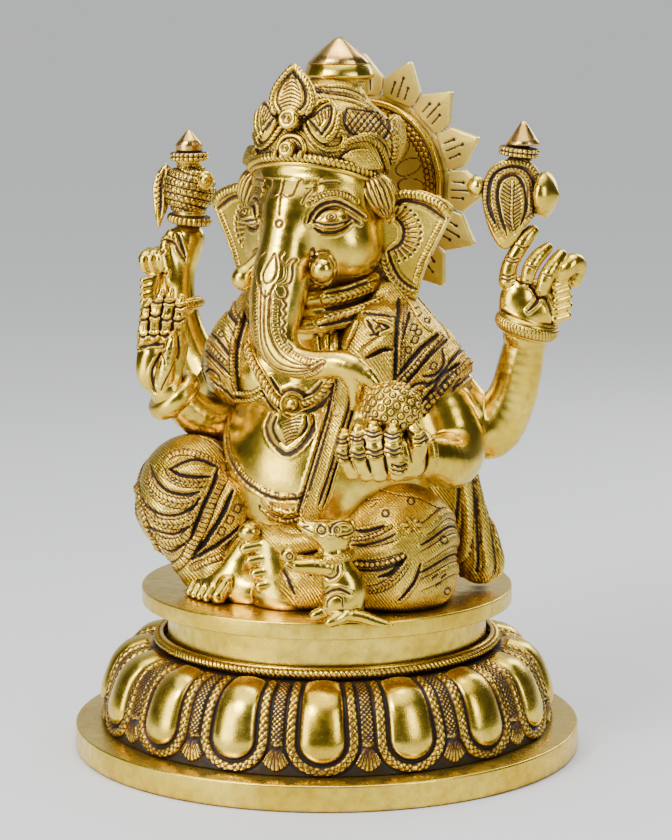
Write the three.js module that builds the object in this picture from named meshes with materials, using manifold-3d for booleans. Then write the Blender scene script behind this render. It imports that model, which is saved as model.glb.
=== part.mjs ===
// Seated four-armed elephant-headed idol in antique brass, on a round lotus pedestal, with a mouse.
// Millimetres, +Z up. The origin is the centre of the pedestal's underside. The figure faces -Y,
// and its own left hand side is +X. "left" and "right" in names are the figure's own.
import * as THREE from 'three';
import { mergeVertices } from 'three/addons/utils/BufferGeometryUtils.js';
import Module from 'manifold-3d';

const wasm = await Module();
wasm.setup();

// ---- Driving dimensions -------------------------------------------------------------------
const FOOT_RADIUS = 136;
const FOOT_THICKNESS = 13.9;
const FOOT_HOLE_RADIUS = 96;
const DRUM_TOP = 56;
const DRUM_WALL = 5;
const PETALS = 16;
const BEAD_RING_RADIUS = 91;
const BEAD_RING_THICKNESS = 3.4;
const WAIST_RADIUS = 86.2;
const WAIST_WALL = 6;
const SEAT_RADIUS = 99.7;
const SEAT_TOP = 88.3;
const SEAT_RIM = 8.8;
const SEAT_THICKNESS = 5;
const STUD_RADIUS = 4;
const HALO_TIP_RADIUS = 66;
const HALO_VALLEY_RADIUS = 53;
const HALO_THICKNESS = 4;
const HALO_RAYS = 15;
const HALO_CENTRE = [0, 49, 300];
const CROWN_TIP = 379.5;
const GAP = 0.3;

// ---- Materials ----------------------------------------------------------------------------
const finish = (color, roughness, metalness) => () =>
  new THREE.MeshStandardMaterial({ color, roughness, metalness });
const polished = finish(0xc9a848, 0.3, 1);
const antique = finish(0xa98432, 0.45, 1);
const steel = finish(0x8d8f92, 0.4, 1);

// ---- Geometry helpers ---------------------------------------------------------------------
const UP = new THREE.Vector3(0, 1, 0);
const vector = (point) => new THREE.Vector3(...point);
const mirrored = (point) => [-point[0], point[1], point[2]];

// A placed copy of a geometry whose own axis is +Y, turned so that the axis runs along direction.
function aimed(geometry, centre, direction) {
  const turn = new THREE.Quaternion().setFromUnitVectors(UP, vector(direction).normalize());
  return geometry.applyQuaternion(turn).translate(...centre);
}

// Each shape below is a function of grow: the same shape with its surface moved out by grow.
const ball = (centre, radii, sides = 12, turn = [0, 0, 0]) => (grow) =>
  new THREE.SphereGeometry(1, sides, Math.ceil(sides * 0.5))
    .rotateX(Math.PI / 2)
    .scale(...radii.map((radius) => radius + grow))
    .applyQuaternion(new THREE.Quaternion().setFromEuler(new THREE.Euler(...turn)))
    .translate(...centre);

// A limb is a cone from a to b with round ends, turned about its own line.
const limb = (a, b, radiusA, radiusB, sides = 8) => (grow) => {
  const capSteps = sides > 6 ? 2 : 1;
  const along = vector(b).sub(vector(a));
  const length = along.length();
  const profile = [];
  for (let step = 0; step <= capSteps; step++) {
    const angle = (step / capSteps) * (Math.PI / 2);
    const radius = radiusA + grow;
    profile.push(new THREE.Vector2(Math.sin(angle) * radius, -Math.cos(angle) * radius));
  }
  for (let step = 0; step <= capSteps; step++) {
    const angle = (step / capSteps) * (Math.PI / 2);
    const radius = radiusB + grow;
    profile.push(new THREE.Vector2(Math.cos(angle) * radius, length + Math.sin(angle) * radius));
  }
  profile[0].x = 0;
  profile[profile.length - 1].x = 0;
  return aimed(new THREE.LatheGeometry(profile, sides), a, along.toArray());
};

// A chain of limbs through stations of [x, y, z, radius].
const chain = (stations, sides = 8) =>
  stations.slice(1).map((end, index) => {
    const start = stations[index];
    return limb(start.slice(0, 3), end.slice(0, 3), start[3], end[3], sides);
  });

const hoop = (centre, direction, radius, thickness, sides = 20) => (grow) =>
  aimed(
    new THREE.TorusGeometry(radius, thickness + grow, 5, sides).rotateX(Math.PI / 2),
    centre,
    direction,
  );

const disc = (centre, direction, radius, height, sides = 16) => (grow) =>
  aimed(new THREE.CylinderGeometry(radius + grow, radius + grow, height + 2 * grow, sides), centre, direction);

// A turned form about a vertical axis through centre, from [radius, height] points; its ends lie
// on the axis or it closes on itself.
const turned = (points, centre = [0, 0, 0], sides = 48) => (grow) =>
  new THREE.LatheGeometry(
    points.map(([radius, height]) => new THREE.Vector2(radius > 0 ? radius + grow : 0, height)),
    sides,
  )
    .rotateX(Math.PI / 2)
    .translate(...centre);

// A flat plate standing in the XZ plane, from outline points, its front face at y.
const plate = (outline, y, thickness) => (grow) => {
  const shape = new THREE.Shape(outline.map(([x, z]) => new THREE.Vector2(x, z)));
  return new THREE.ExtrudeGeometry(shape, {
    depth: thickness + 2 * grow,
    bevelEnabled: false,
  })
    .rotateX(Math.PI / 2)
    .translate(0, y + thickness + grow, 0);
};

const block = (low, high) => () =>
  new THREE.BoxGeometry(high[0] - low[0], high[1] - low[1], high[2] - low[2]).translate(
    (low[0] + high[0]) / 2,
    (low[1] + high[1]) / 2,
    (low[2] + high[2]) / 2,
  );

// ---- Solids -------------------------------------------------------------------------------
function manifoldOf(geometry) {
  const bare = geometry.clone();
  bare.deleteAttribute('normal');
  bare.deleteAttribute('uv');
  const merged = mergeVertices(bare, 1e-4);
  const index = Array.from(merged.index.array);
  const triangles = [];
  for (let corner = 0; corner < index.length; corner += 3) {
    const [a, b, c] = index.slice(corner, corner + 3);
    if (a !== b && b !== c && c !== a) triangles.push(a, b, c);
  }
  const solid = new wasm.Manifold(
    new wasm.Mesh({
      numProp: 3,
      vertProperties: merged.attributes.position.array,
      triVerts: new Uint32Array(triangles),
    }),
  );
  if (solid.volume() < 0) throw new Error('a shape is inside out');
  return solid;
}

const joined = (shapes, grow = 0) =>
  shapes.map((shape) => manifoldOf(shape(grow))).reduce((sum, next) => sum.add(next));

// The one body that is left of a cut piece: the offcuts fall away.
function largest(solid) {
  const pieces = solid.decompose();
  return pieces.reduce((best, next) => (next.volume() > best.volume() ? next : best));
}

const boxesMeet = (a, b) =>
  [0, 1, 2].every((axis) => a.min[axis] < b.max[axis] && b.min[axis] < a.max[axis]);

const group = new THREE.Group();
const made = [];

// Adds a named mesh. It is the join of shapes, less cuts, less every piece made before it.
function add(name, material, shapes, cuts = []) {
  let solid = joined(shapes);
  for (const earlier of made) {
    if (boxesMeet(solid.boundingBox(), earlier.grown.boundingBox())) {
      solid = solid.subtract(earlier.grown);
    }
  }
  for (const cut of cuts) solid = solid.subtract(manifoldOf(cut(0)));
  solid = largest(solid);
  made.push({ name, grown: joined(shapes, GAP) });
  const { vertProperties, triVerts } = solid.getMesh();
  const geometry = new THREE.BufferGeometry();
  geometry.setAttribute('position', new THREE.BufferAttribute(new Float32Array(vertProperties), 3));
  geometry.setIndex(new THREE.BufferAttribute(new Uint32Array(triVerts), 1));
  geometry.computeVertexNormals();
  const mesh = new THREE.Mesh(geometry, material());
  mesh.name = name;
  group.add(mesh);
}

const REACH = 200;
const belowSeat = block([-REACH, -REACH, 0], [REACH, REACH, SEAT_TOP + GAP]);
const seated = (name, material, shapes, cuts = []) => add(name, material, shapes, [belowSeat, ...cuts]);

// ---- Pedestal -----------------------------------------------------------------------------
const ringProfile = (inner, outer, low, high) => [
  [inner, low],
  [outer, low],
  [outer, high],
  [inner, high],
  [inner, low],
];

add('foot_plate', polished, [turned(ringProfile(FOOT_HOLE_RADIUS, FOOT_RADIUS, 0, FOOT_THICKNESS))]);

// The drum's silhouette swells outwards, from [radius, height] under its top down to its foot.
const drumOutside = [
  [95.5, DRUM_TOP],
  [105.1, 53],
  [113, 44.5],
  [116.5, 35],
  [118.7, 26.7],
  [120.4, FOOT_THICKNESS + GAP],
];
const DRUM_NECK_RADIUS = 80;
const drumInside = [
  [120.4 - DRUM_WALL, FOOT_THICKNESS + GAP],
  [118.7 - DRUM_WALL, 26.7],
  [113 - DRUM_WALL, 40],
  [102 - DRUM_WALL, DRUM_TOP - DRUM_WALL],
  [DRUM_NECK_RADIUS, DRUM_TOP - DRUM_WALL],
];
const drumProfile = [
  [DRUM_NECK_RADIUS, DRUM_TOP],
  ...drumInside.reverse(),
  ...drumOutside.reverse(),
  [DRUM_NECK_RADIUS, DRUM_TOP],
];
const PETAL_RADII = [4, 15.5, 18];
const PETAL_CENTRE = { radius: 116.7, height: 33 };
const PETAL_LEAN = -0.28;
const petals = [];
for (let petal = 0; petal < PETALS; petal++) {
  const angle = (petal / PETALS) * 2 * Math.PI;
  petals.push((grow) =>
    new THREE.SphereGeometry(1, 6, 5)
      .rotateX(Math.PI / 2)
      .scale(...PETAL_RADII.map((radius) => radius + grow))
      .rotateY(PETAL_LEAN)
      .translate(PETAL_CENTRE.radius, 0, PETAL_CENTRE.height)
      .rotateZ(angle),
  );
}
add('lotus_drum', antique, [turned(drumProfile, [0, 0, 0], 2 * PETALS), ...petals]);

const BEAD_RING_HEIGHT = DRUM_TOP + GAP + BEAD_RING_THICKNESS;
add('bead_ring', antique, [
  hoop([0, 0, BEAD_RING_HEIGHT], [0, 0, 1], BEAD_RING_RADIUS, BEAD_RING_THICKNESS, 36),
]);

const SEAT_UNDERSIDE = SEAT_TOP - SEAT_THICKNESS;
add('waist_band', polished, [
  turned(ringProfile(WAIST_RADIUS - WAIST_WALL, WAIST_RADIUS, DRUM_TOP + GAP, SEAT_UNDERSIDE - GAP)),
]);

const STUD_HOLE_RADIUS = STUD_RADIUS + 0.5;
const SEAT_RIM_INNER_RADIUS = 92;
add('seat_plate', polished, [
  turned([
    [STUD_HOLE_RADIUS, SEAT_TOP],
    [STUD_HOLE_RADIUS, SEAT_UNDERSIDE],
    [SEAT_RIM_INNER_RADIUS, SEAT_UNDERSIDE],
    [SEAT_RIM_INNER_RADIUS, SEAT_TOP - SEAT_RIM],
    [SEAT_RADIUS, SEAT_TOP - SEAT_RIM],
    [SEAT_RADIUS, SEAT_TOP],
    [STUD_HOLE_RADIUS, SEAT_TOP],
  ]),
]);

// One stud, washer and nut pull the figure down on its seat from inside the pedestal.
const WASHER_THICKNESS = 1.6;
const NUT_HEIGHT = 6.5;
const STUD_BOTTOM = 70;
const STUD_TOP = 112;
const WASHER_TOP = SEAT_UNDERSIDE - GAP;
const NUT_TOP = WASHER_TOP - WASHER_THICKNESS - GAP;
add('figure_stud', steel, [
  disc([0, 0, (STUD_BOTTOM + STUD_TOP) / 2], [0, 0, 1], STUD_RADIUS, STUD_TOP - STUD_BOTTOM, 12),
]);
const FASTENER_BORE = STUD_RADIUS + GAP;
add('stud_washer', steel, [
  turned(ringProfile(FASTENER_BORE, 9, WASHER_TOP - WASHER_THICKNESS, WASHER_TOP), [0, 0, 0], 16),
]);
add('stud_nut', steel, [
  turned(ringProfile(FASTENER_BORE, 7.5, NUT_TOP - NUT_HEIGHT, NUT_TOP), [0, 0, 0], 6),
]);

// ---- Torso: a hollow casting, open at the seat, round a central post for the stud ------------
const POST_RADIUS = 13;
const torsoHollow = turned(
  [
    [POST_RADIUS, SEAT_TOP - 1],
    [48, SEAT_TOP - 1],
    [48, 135],
    [43, 170],
    [33, 195],
    [POST_RADIUS, 205],
    [POST_RADIUS, SEAT_TOP - 1],
  ],
  [0, 0, 0],
  20,
);
seated(
  'torso',
  polished,
  [
    ball([0, -3, 150], [60, 54, 58], 14),
    ball([0, 4, 116], [62, 52, 40], 12),
    ball([0, 4, 206], [54, 36, 40], 12),
    limb([0, -2, 225], [0, -6, 252], 32, 26),
  ],
  [torsoHollow],
);

// ---- Head and trunk -------------------------------------------------------------------------
const trunk = [
  [0, -34, 284, 17],
  [0, -45, 264, 13.5],
  [0, -56, 240, 12],
  [3, -61, 227, 11.5],
  [12, -63.5, 218, 10.5],
  [27, -64, 216, 9],
  [41, -63, 219, 6.8],
  [51, -62, 217, 6],
];
add('head', polished, [
  ball([0, -10, 286], [36, 37, 34], 14),
  ball([16, -20, 264], [19, 19, 18], 10),
  ball([-16, -20, 264], [19, 19, 18], 10),
  ...chain(trunk),
  limb([51, -62, 217], [66, -60, 212], 6, 2.2, 6),
  limb([51, -62, 217], [50, -61, 203], 6, 2.2, 6),
]);

const earOutline = [
  [33, 293],
  [43, 300],
  [56, 298],
  [69, 294],
  [67, 280],
  [62, 264],
  [56, 250],
  [49, 243],
  [41, 250],
  [35, 265],
];
add('left_ear', antique, [plate(earOutline, -3, 6)]);
add('right_ear', antique, [plate(earOutline.map(([x, z]) => [-x, z]), -3, 6)]);
add('left_tusk', polished, [limb([17, -38, 268], [23, -47, 262], 6, 6)]);
add('right_tusk', polished, [limb([-17, -38, 266], [-24, -45, 255], 6, 6)]);

// ---- Crown and its ornaments ------------------------------------------------------------------
add('brow_band', antique, [hoop([0, -6, 305], [0, 0.38, 1], 37.5, 4, 20)]);
add('crown_dome', antique, [
  ball([0, -1, 324], [37, 38, 28], 14),
  limb([0, 8, 345], [0, 12, 352], 22, 16),
  ball([37, 8, 328], [5, 9, 12], 6),
  ball([-37, 8, 328], [5, 9, 12], 6),
]);
const FINIAL_BASE = 357;
const finialProfile = [
  [0, -8],
  [15.5, -4],
  [18.5, 2],
  [18, 6],
  [10, 15],
  [0, CROWN_TIP - FINIAL_BASE],
];
add('crown_finial', polished, [turned(finialProfile, [0, 14, FINIAL_BASE], 12)]);
add('left_hair_tuft', antique, [ball([36, -12, 299], [8, 9, 12], 10)]);
add('right_hair_tuft', antique, [ball([-36, -12, 299], [8, 9, 12], 10)]);
add('crest_leaf', antique, [ball([0, -34, 354], [12, 6, 15], 10)]);
add('crest_boss', polished, [disc([1, -38, 338], [0, 1, -0.2], 6.2, 10, 12)]);
add('brow_boss', polished, [disc([0, -41, 324], [0, 1, -0.2], 4.8, 8, 10)]);
const sideLeaves = [
  ['left_crest_leaf', [17, -33, 338], [9, 6, 12], 0.35],
  ['right_crest_leaf', [-17, -33, 338], [9, 6, 12], -0.35],
  ['left_wing_leaf', [33, -19, 320], [9, 8, 8], 0.2],
  ['right_wing_leaf', [-33, -19, 320], [9, 8, 8], -0.2],
];
for (const [name, centre, radii, lean] of sideLeaves) {
  add(name, antique, [ball(centre, radii, 10, [0, lean, 0])]);
}

// ---- Halo behind the crown --------------------------------------------------------------------
const haloOutline = [];
for (let corner = 0; corner < 2 * HALO_RAYS; corner++) {
  const angle = (corner / HALO_RAYS) * Math.PI;
  const radius = corner % 2 ? HALO_VALLEY_RADIUS : HALO_TIP_RADIUS;
  haloOutline.push([
    HALO_CENTRE[0] + Math.sin(angle) * radius,
    HALO_CENTRE[2] + Math.cos(angle) * radius,
  ]);
}
add('halo', polished, [plate(haloOutline, HALO_CENTRE[1], HALO_THICKNESS)]);
add('halo_ring', antique, [
  hoop([HALO_CENTRE[0], HALO_CENTRE[1] - 4, HALO_CENTRE[2]], [0, 1, 0], 35, 3.6, 24),
]);
add('halo_bracket', polished, [
  block([-9, 20, 268], [9, HALO_CENTRE[1] - GAP, 280]),
]);

// ---- Legs, feet and cloth on the seat ---------------------------------------------------------
seated('right_leg', antique, [
  ball([-59, -42, 132], [29, 30, 38], 14),
  limb([-60, -44, 126], [-40, -46, 102], 26, 13),
  limb([-30, -8, 112], [-58, -38, 138], 26, 26),
]);
const TOE_RADIUS = 4.2;
const rightToes = [0, 1, 2, 3, 4].map((toe) =>
  limb(
    [-38 + 4.2 * toe, -64 - 1.2 * toe, 96],
    [-43 + 5.6 * toe, -73 - 1.4 * toe, 93.5],
    TOE_RADIUS,
    TOE_RADIUS * 0.85,
    5,
  ),
);
seated('right_foot', polished, [
  ball([-27, -54, 97], [14, 22, 10], 12),
  ball([-14, -36, 96], [12, 12, 9], 10),
  ...rightToes,
]);
seated('left_leg', antique, [
  ball([57, -26, 114], [31, 33, 35], 14),
  limb([56, -38, 112], [22, -64, 104], 24, 14),
  limb([36, 4, 114], [54, -16, 118], 26, 28),
]);
const leftToes = [0, 1, 2, 3].map((toe) =>
  limb([-3, -70 + 1.2 * toe, 116 - 7 * toe], [-9, -73 + 1.2 * toe, 115 - 7 * toe], 3.6, 3.3, 5),
);
seated('left_foot', polished, [ball([2, -67, 105], [12, 8, 15], 10), ...leftToes]);
seated('waist_cloth', antique, [ball([2, -50, 122], [24, 16, 14], 12)]);
seated('back_cape', antique, [
  ball([0, 22, 150], [70, 34, 88], 12),
  ball([0, 26, 110], [66, 38, 36], 10),
  limb([70, 20, 150], [84, 27, 104], 10, 14),
  limb([-70, 20, 150], [-84, 27, 104], 10, 14),
]);

// ---- Shawl, sash and jewellery on the chest ---------------------------------------------------
add('neck_collar', antique, [hoop([0, -8, 243], [0, -0.55, 1], 36, 6.5, 20)]);
add('left_shawl', antique, [ball([54, -2, 214], [27, 33, 38], 12), ball([42, -22, 222], [22, 18, 26], 10)]);
add('right_shawl', antique, [ball([-54, -2, 212], [26, 32, 37], 12), ball([-42, -22, 220], [20, 16, 26], 10)]);
const sash = [
  [34, -36, 210, 7],
  [31, -45, 190, 7],
  [25, -51, 165, 7],
  [17, -53, 142, 7],
];
add('sash', antique, chain(sash, 6));
const NECKLACE_POINTS = 5;
const necklace = [];
for (let bead = 0; bead < NECKLACE_POINTS; bead++) {
  const angle = Math.PI * (0.08 + (0.84 * bead) / (NECKLACE_POINTS - 1));
  necklace.push([-Math.cos(angle) * 32, -28 - 14 * Math.sin(angle), 214 - 21 * Math.sin(angle), 4]);
}
add('necklace', antique, chain(necklace, 6));
add('pendant', antique, [ball([2, -51, 178], [8.5, 5, 11], 10)]);

// ---- Rear arms, each with its hand, bangle and emblem -----------------------------------------
add('left_rear_arm', polished, chain([[60, 14, 208, 14], [84, 24, 176, 16], [100, 26, 208, 13], [105, 26, 228, 10.3]]));
add('right_rear_arm', polished, chain([[-60, 14, 208, 13], [-84, 24, 184, 14], [-98, 26, 212, 12], [-102, 26, 228, 9.6]]));
add('left_rear_bangle', antique, [hoop([105.5, 26, 231], [0.25, 0, 1], 15, 4, 16)]);
add('right_rear_bangle', antique, [hoop([-102.5, 26, 231], [-0.2, 0, 1], 13.6, 3.4, 16)]);

// Four curled fingers stacked along a knuckle line, each a short bent chain.
const curledFingers = (side, knuckle, step, reach) =>
  [0, 1, 2, 3].flatMap((finger) => {
    const x = knuckle[0] + step[0] * finger;
    const z = knuckle[2] + step[1] * finger;
    return chain(
      [
        [side * x, knuckle[1], z, 3.4],
        [side * (x + reach), knuckle[1] - 8, z + 1, 2.9],
      ],
      5,
    );
  });
add('left_rear_hand', polished, [
  ball([108, 26, 250], [12, 10, 15], 12),
  limb([103, 20, 254], [103, 14, 274], 4.2, 3.4, 8),
  ...curledFingers(1, [110, 28, 270], [4.4, -5.2], 6),
]);
add('right_rear_hand', polished, [
  ball([-105, 26, 251], [11, 10, 17], 12),
  ...curledFingers(-1, [108, 28, 264], [3.6, -7], 6),
]);

const emblemFinial = [
  [0, 0],
  [8.6, 0],
  [8.6, 4],
  [0, 14],
];
add('left_emblem', antique, [
  ball([94, 26, 300], [14, 9, 18], 12),
  limb([95, 26, 296], [101, 26, 272], 12, 4),
  disc([112, 26, 300], [1, 0, 0], 9.5, 11, 12),
  limb([84, 26, 303], [72, 26, 303], 3, 5, 8),
  disc([97, 26, 320.5], [0, 0, 1], 10, 6, 12),
  turned(emblemFinial, [97, 26, 323], 10),
]);
add('right_emblem', antique, [
  ball([-100, 26, 295], [13.5, 13.5, 14.5], 12),
  disc([-99, 26, 278], [0, 0, 1], 11, 7, 14),
  limb([-90, 24, 299], [-85, 21, 299], 5, 2.5, 8),
  ball([-114, 20, 291], [3.5, 10, 17], 10),
  disc([-101, 26, 311], [0, 0, 1], 9.5, 6, 14),
  turned(emblemFinial, [-101, 26, 313.5], 10),
]);

// ---- Front arms: one hand raised in blessing, one holding a sweet -----------------------------
add('right_front_arm', polished, chain([[-60, -2, 200, 14], [-50, -16, 174, 13.5], [-70, -40, 188, 9.6]]));
add('right_front_bangle', antique, [hoop([-70.5, -40.5, 190], [-0.5, -0.5, 0.8], 13.4, 3.3, 16)]);
const blessingFingers = [0, 1, 2, 3].map((finger) => {
  const x = -79 + 5.9 * finger;
  const tip = 244 + 3 * Math.sin(0.6 + 0.75 * finger);
  return limb([x, -47, 222], [x, -49, tip], 3.1, 2.8, 8);
});
add('blessing_hand', polished, [
  ball([-70, -46, 210], [13, 7.5, 19], 12),
  limb([-66, -52, 206], [-64, -55, 227], 5, 3, 8),
  ...blessingFingers,
]);
add('left_front_arm', polished, chain([[66, -4, 196, 15], [86, -4, 168, 17], [84, -40, 172, 10.3]]));
add('left_front_bangle', antique, [hoop([83.5, -43, 172.5], [-0.1, -1, 0.1], 14.2, 3.4, 16)]);
add('sweet_ball', antique, [ball([71, -63, 196], [15, 15, 15], 12)]);
const holdingFingers = [0, 1, 2, 3].flatMap((finger) => {
  const x = 50 + 8.3 * finger;
  const tip = 187 - 1.5 * Math.abs(finger - 2);
  return chain([[x + 4, -62, 164, 4.2], [x, -76, 168, 4.2], [x + 1, -81, tip, 3.6]], 5);
});
add('holding_hand', polished, [
  ball([74, -60, 172], [16, 14, 9], 10),
  limb([84, -60, 176], [85, -74, 186], 5, 4, 6),
  ...holdingFingers,
]);

// ---- Mouse at the front of the seat ------------------------------------------------------------
seated('mouse_body', polished, [
  ball([51, -77, 102], [11, 13, 15], 12),
  limb([50, -78, 110], [46, -80, 127], 10, 7),
  limb([45, -80, 134], [35, -86, 136], 7.5, 3, 8),
  limb([44, -81, 122], [31, -87, 120], 4, 2.6, 6),
  limb([48, -87, 94], [41, -90, 91], 5, 3.5, 6),
  ball([49, -84, 139], [4, 3, 5], 8),
  ball([43, -76, 140], [4, 3, 5], 8),
  ...chain([[56, -72, 92, 3], [68, -64, 91, 2.4], [74, -60, 90.5, 1.8]], 6),
]);
add('mouse_collar', antique, [hoop([45.8, -80.2, 127], [-0.2, -0.1, 1], 8.6, 1.7, 14)]);
add('mouse_sweet', antique, [ball([27, -89, 121], [4.5, 4.5, 4.5], 8)]);

export default group;
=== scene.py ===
# Looks of the seated four-armed idol: each CAD solid but the steel hardware is replaced by a finely modelled
# brass piece, and the hardware is given a steel material.
# Shapes are written in millimetres in the part's own frame (+Z up, the figure faces -Y, its own left
# is +X) and are turned into metres by UNIT, which is measured on the imported model. Most ornament is
# drawn as strokes on a plane in front of a form, and the strokes are then worked into the form's mesh.
import math

import bpy
import mathutils
import numpy as np
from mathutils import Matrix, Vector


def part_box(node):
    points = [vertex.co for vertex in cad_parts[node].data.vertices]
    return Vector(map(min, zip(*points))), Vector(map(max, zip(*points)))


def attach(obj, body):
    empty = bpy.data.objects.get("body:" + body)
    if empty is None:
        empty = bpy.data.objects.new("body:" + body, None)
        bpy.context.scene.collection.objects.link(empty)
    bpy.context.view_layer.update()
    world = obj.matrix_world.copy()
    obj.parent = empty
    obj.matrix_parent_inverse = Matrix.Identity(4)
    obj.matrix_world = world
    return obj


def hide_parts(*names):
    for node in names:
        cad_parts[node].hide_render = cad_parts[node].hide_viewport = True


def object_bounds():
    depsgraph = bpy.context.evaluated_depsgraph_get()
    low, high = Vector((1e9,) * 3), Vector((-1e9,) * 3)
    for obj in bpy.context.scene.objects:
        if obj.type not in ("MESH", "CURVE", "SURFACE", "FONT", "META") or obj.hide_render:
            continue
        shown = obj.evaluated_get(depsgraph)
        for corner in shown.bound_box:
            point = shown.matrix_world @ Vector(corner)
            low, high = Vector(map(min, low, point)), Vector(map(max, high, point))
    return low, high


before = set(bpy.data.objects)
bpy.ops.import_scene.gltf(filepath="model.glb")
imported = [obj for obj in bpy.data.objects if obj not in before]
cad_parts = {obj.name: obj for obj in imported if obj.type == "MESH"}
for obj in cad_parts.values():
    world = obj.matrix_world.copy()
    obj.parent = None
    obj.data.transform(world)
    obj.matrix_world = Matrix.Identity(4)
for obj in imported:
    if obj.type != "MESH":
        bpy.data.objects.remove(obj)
cad_box = [list(corner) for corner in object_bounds()]

# ---- Frame-driven dimensions ---------------------------------------------------------------------
DESIGN_HEIGHT = 379.5
UNIT = (cad_box[1][2] - cad_box[0][2]) / DESIGN_HEIGHT


def low(node):
    """The lowest corner of a CAD node's box, in millimetres."""
    return np.array(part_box(node)[0]) / UNIT


def high(node):
    """The highest corner of a CAD node's box, in millimetres."""
    return np.array(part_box(node)[1]) / UNIT


def middle(node):
    """The middle of a CAD node's box, in millimetres."""
    return (low(node) + high(node)) / 2


FOOT_RADIUS = high("foot_plate")[0]
FOOT_TOP = high("foot_plate")[2]
SEAT_RADIUS = high("seat_plate")[0]
SEAT_TOP = high("seat_plate")[2]
SEAT_LOW = low("seat_plate")[2]
WAIST_RADIUS = high("waist_band")[0]
PETALS = 16

# The side that the front ornament is drawn from, in degrees round from the front and up.
FRONT_TURN = 28.0
FRONT_TILT = 9.2
# Origins of the drawing planes that several sketches share.
FACE = (0, -40, 280)
CHEST = (12, -62, 225)
BROW = (0, -36, 340)
TEMPLE = (33, -22, 318)

# ---- Forms: signed distance to a surface, in millimetres, for an (n, 3) array of points ----------
FAR = 1e3


def smooth_min(a, b, k):
    """The smaller of two distances, blended where they are within k of each other."""
    mix = np.clip(0.5 + 0.5 * (b - a) / k, 0, 1)
    return b + (a - b) * mix - k * mix * (1 - mix)


def smooth_max(a, b, k):
    return -smooth_min(-a, -b, k)


def turn_matrix(turn):
    """The rotation by degrees about X, then Y, then Z."""
    (cx, sx), (cy, sy), (cz, sz) = ((math.cos(a), math.sin(a)) for a in map(math.radians, turn))
    about_x = np.array([[1, 0, 0], [0, cx, -sx], [0, sx, cx]])
    about_y = np.array([[cy, 0, sy], [0, 1, 0], [-sy, 0, cy]])
    about_z = np.array([[cz, -sz, 0], [sz, cz, 0], [0, 0, 1]])
    return about_z @ about_y @ about_x


class Form:
    """A distance function with the box that its surface stays inside."""

    def __init__(self, distance, lowest, highest):
        self.distance = distance
        self.low = np.array(lowest, float)
        self.high = np.array(highest, float)

    def __call__(self, points):
        return self.distance(points)


def ball(centre, radii, turn=(0, 0, 0)):
    """An ellipsoid, turned by degrees about X, then Y, then Z."""
    centre, radii, matrix = np.array(centre, float), np.array(radii, float), turn_matrix(turn)

    def distance(points):
        local = (points - centre) @ matrix
        scaled = np.linalg.norm(local / radii, axis=1)
        steep = np.linalg.norm(local / radii**2, axis=1)
        return scaled * (scaled - 1) / np.maximum(steep, 1e-6)

    reach = np.sqrt((matrix**2) @ (radii**2))
    return Form(distance, centre - reach, centre + reach)


def limb(a, b, radius_a, radius_b, flat=None):
    """A round-ended cone from a to b. flat=(direction, factor) flattens its section."""
    a, b = np.array(a, float), np.array(b, float)
    along = b - a
    length2 = along @ along

    def distance(points):
        offset = points - a
        share = np.clip(offset @ along / length2, 0, 1)
        rest = offset - share[:, None] * along
        if flat is not None:
            axis, factor = np.array(flat[0], float) / np.linalg.norm(flat[0]), flat[1]
            rest = rest + (1 / factor - 1) * (rest @ axis)[:, None] * axis
        return np.linalg.norm(rest, axis=1) - (radius_a + (radius_b - radius_a) * share)

    reach = max(radius_a, radius_b)
    return Form(distance, np.minimum(a, b) - reach, np.maximum(a, b) + reach)


def curve_through(stations, steps=8):
    """A smooth curve through the stations, whatever their number of columns."""
    stations = np.array(stations, float)
    padded = np.vstack([2 * stations[0] - stations[1], stations, 2 * stations[-1] - stations[-2]])
    out = []
    for index in range(1, len(padded) - 2):
        p0, p1, p2, p3 = padded[index - 1 : index + 3]
        for step in range(steps):
            t = step / steps
            out.append(
                0.5
                * (
                    2 * p1
                    + (p2 - p0) * t
                    + (2 * p0 - 5 * p1 + 4 * p2 - p3) * t * t
                    + (3 * p1 - p0 - 3 * p2 + p3) * t**3
                )
            )
    out.append(stations[-1])
    return np.array(out)


def chain(stations, steps=5):
    """A limb along a smooth curve through stations of x, y, z, radius."""
    fine = curve_through(stations, steps)
    return union(0.6, *[limb(p[:3], q[:3], p[3], q[3]) for p, q in zip(fine[:-1], fine[1:])])


def union(k, *forms):
    """The forms joined, with a fillet of about k. Each is only worked out near its own box."""
    margin = k + 1.5

    def distance(points):
        total = np.full(len(points), FAR)
        for form in forms:
            gap = np.maximum(form.low - points, points - form.high).max(1)
            close = gap < margin
            total = np.where(close, total, np.minimum(total, np.maximum(gap, margin)))
            if close.any():
                here = form(points[close])
                there = total[close]
                total[close] = smooth_min(there, here, k) if k > 0 else np.minimum(there, here)
        return total

    return Form(distance, np.min([f.low for f in forms], axis=0) - k,
        np.max([f.high for f in forms], axis=0) + k)


def above(form, height, k):
    """The form, cut flat at a height."""
    lowest = np.array([form.low[0], form.low[1], max(form.low[2], height)])
    return Form(lambda points: smooth_max(form(points), height - points[:, 2], k), lowest, form.high)


def slopes(form, points, eps=0.15):
    """The direction in which the distance grows fastest, one unit vector per point."""
    out = np.empty_like(points)
    for axis in range(3):
        step = np.zeros(3)
        step[axis] = eps
        out[:, axis] = form(points + step) - form(points - step)
    return out / np.maximum(np.linalg.norm(out, axis=1), 1e-9)[:, None]


def settle(form, points, lift=0.0, rounds=3):
    """Moves points to where the form's distance is lift."""
    for _ in range(rounds):
        points = points - slopes(form, points) * (form(points) - lift)[:, None]
    return points


# ---- Meshing a form ------------------------------------------------------------------------------


GRID_BLOCK = 4
BLOCK_REACH = 1.35
POINTS_AT_ONCE = 400000
CELL_CORNERS = [(i, j, k) for k in (0, 1) for j in (0, 1) for i in (0, 1)]


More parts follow.
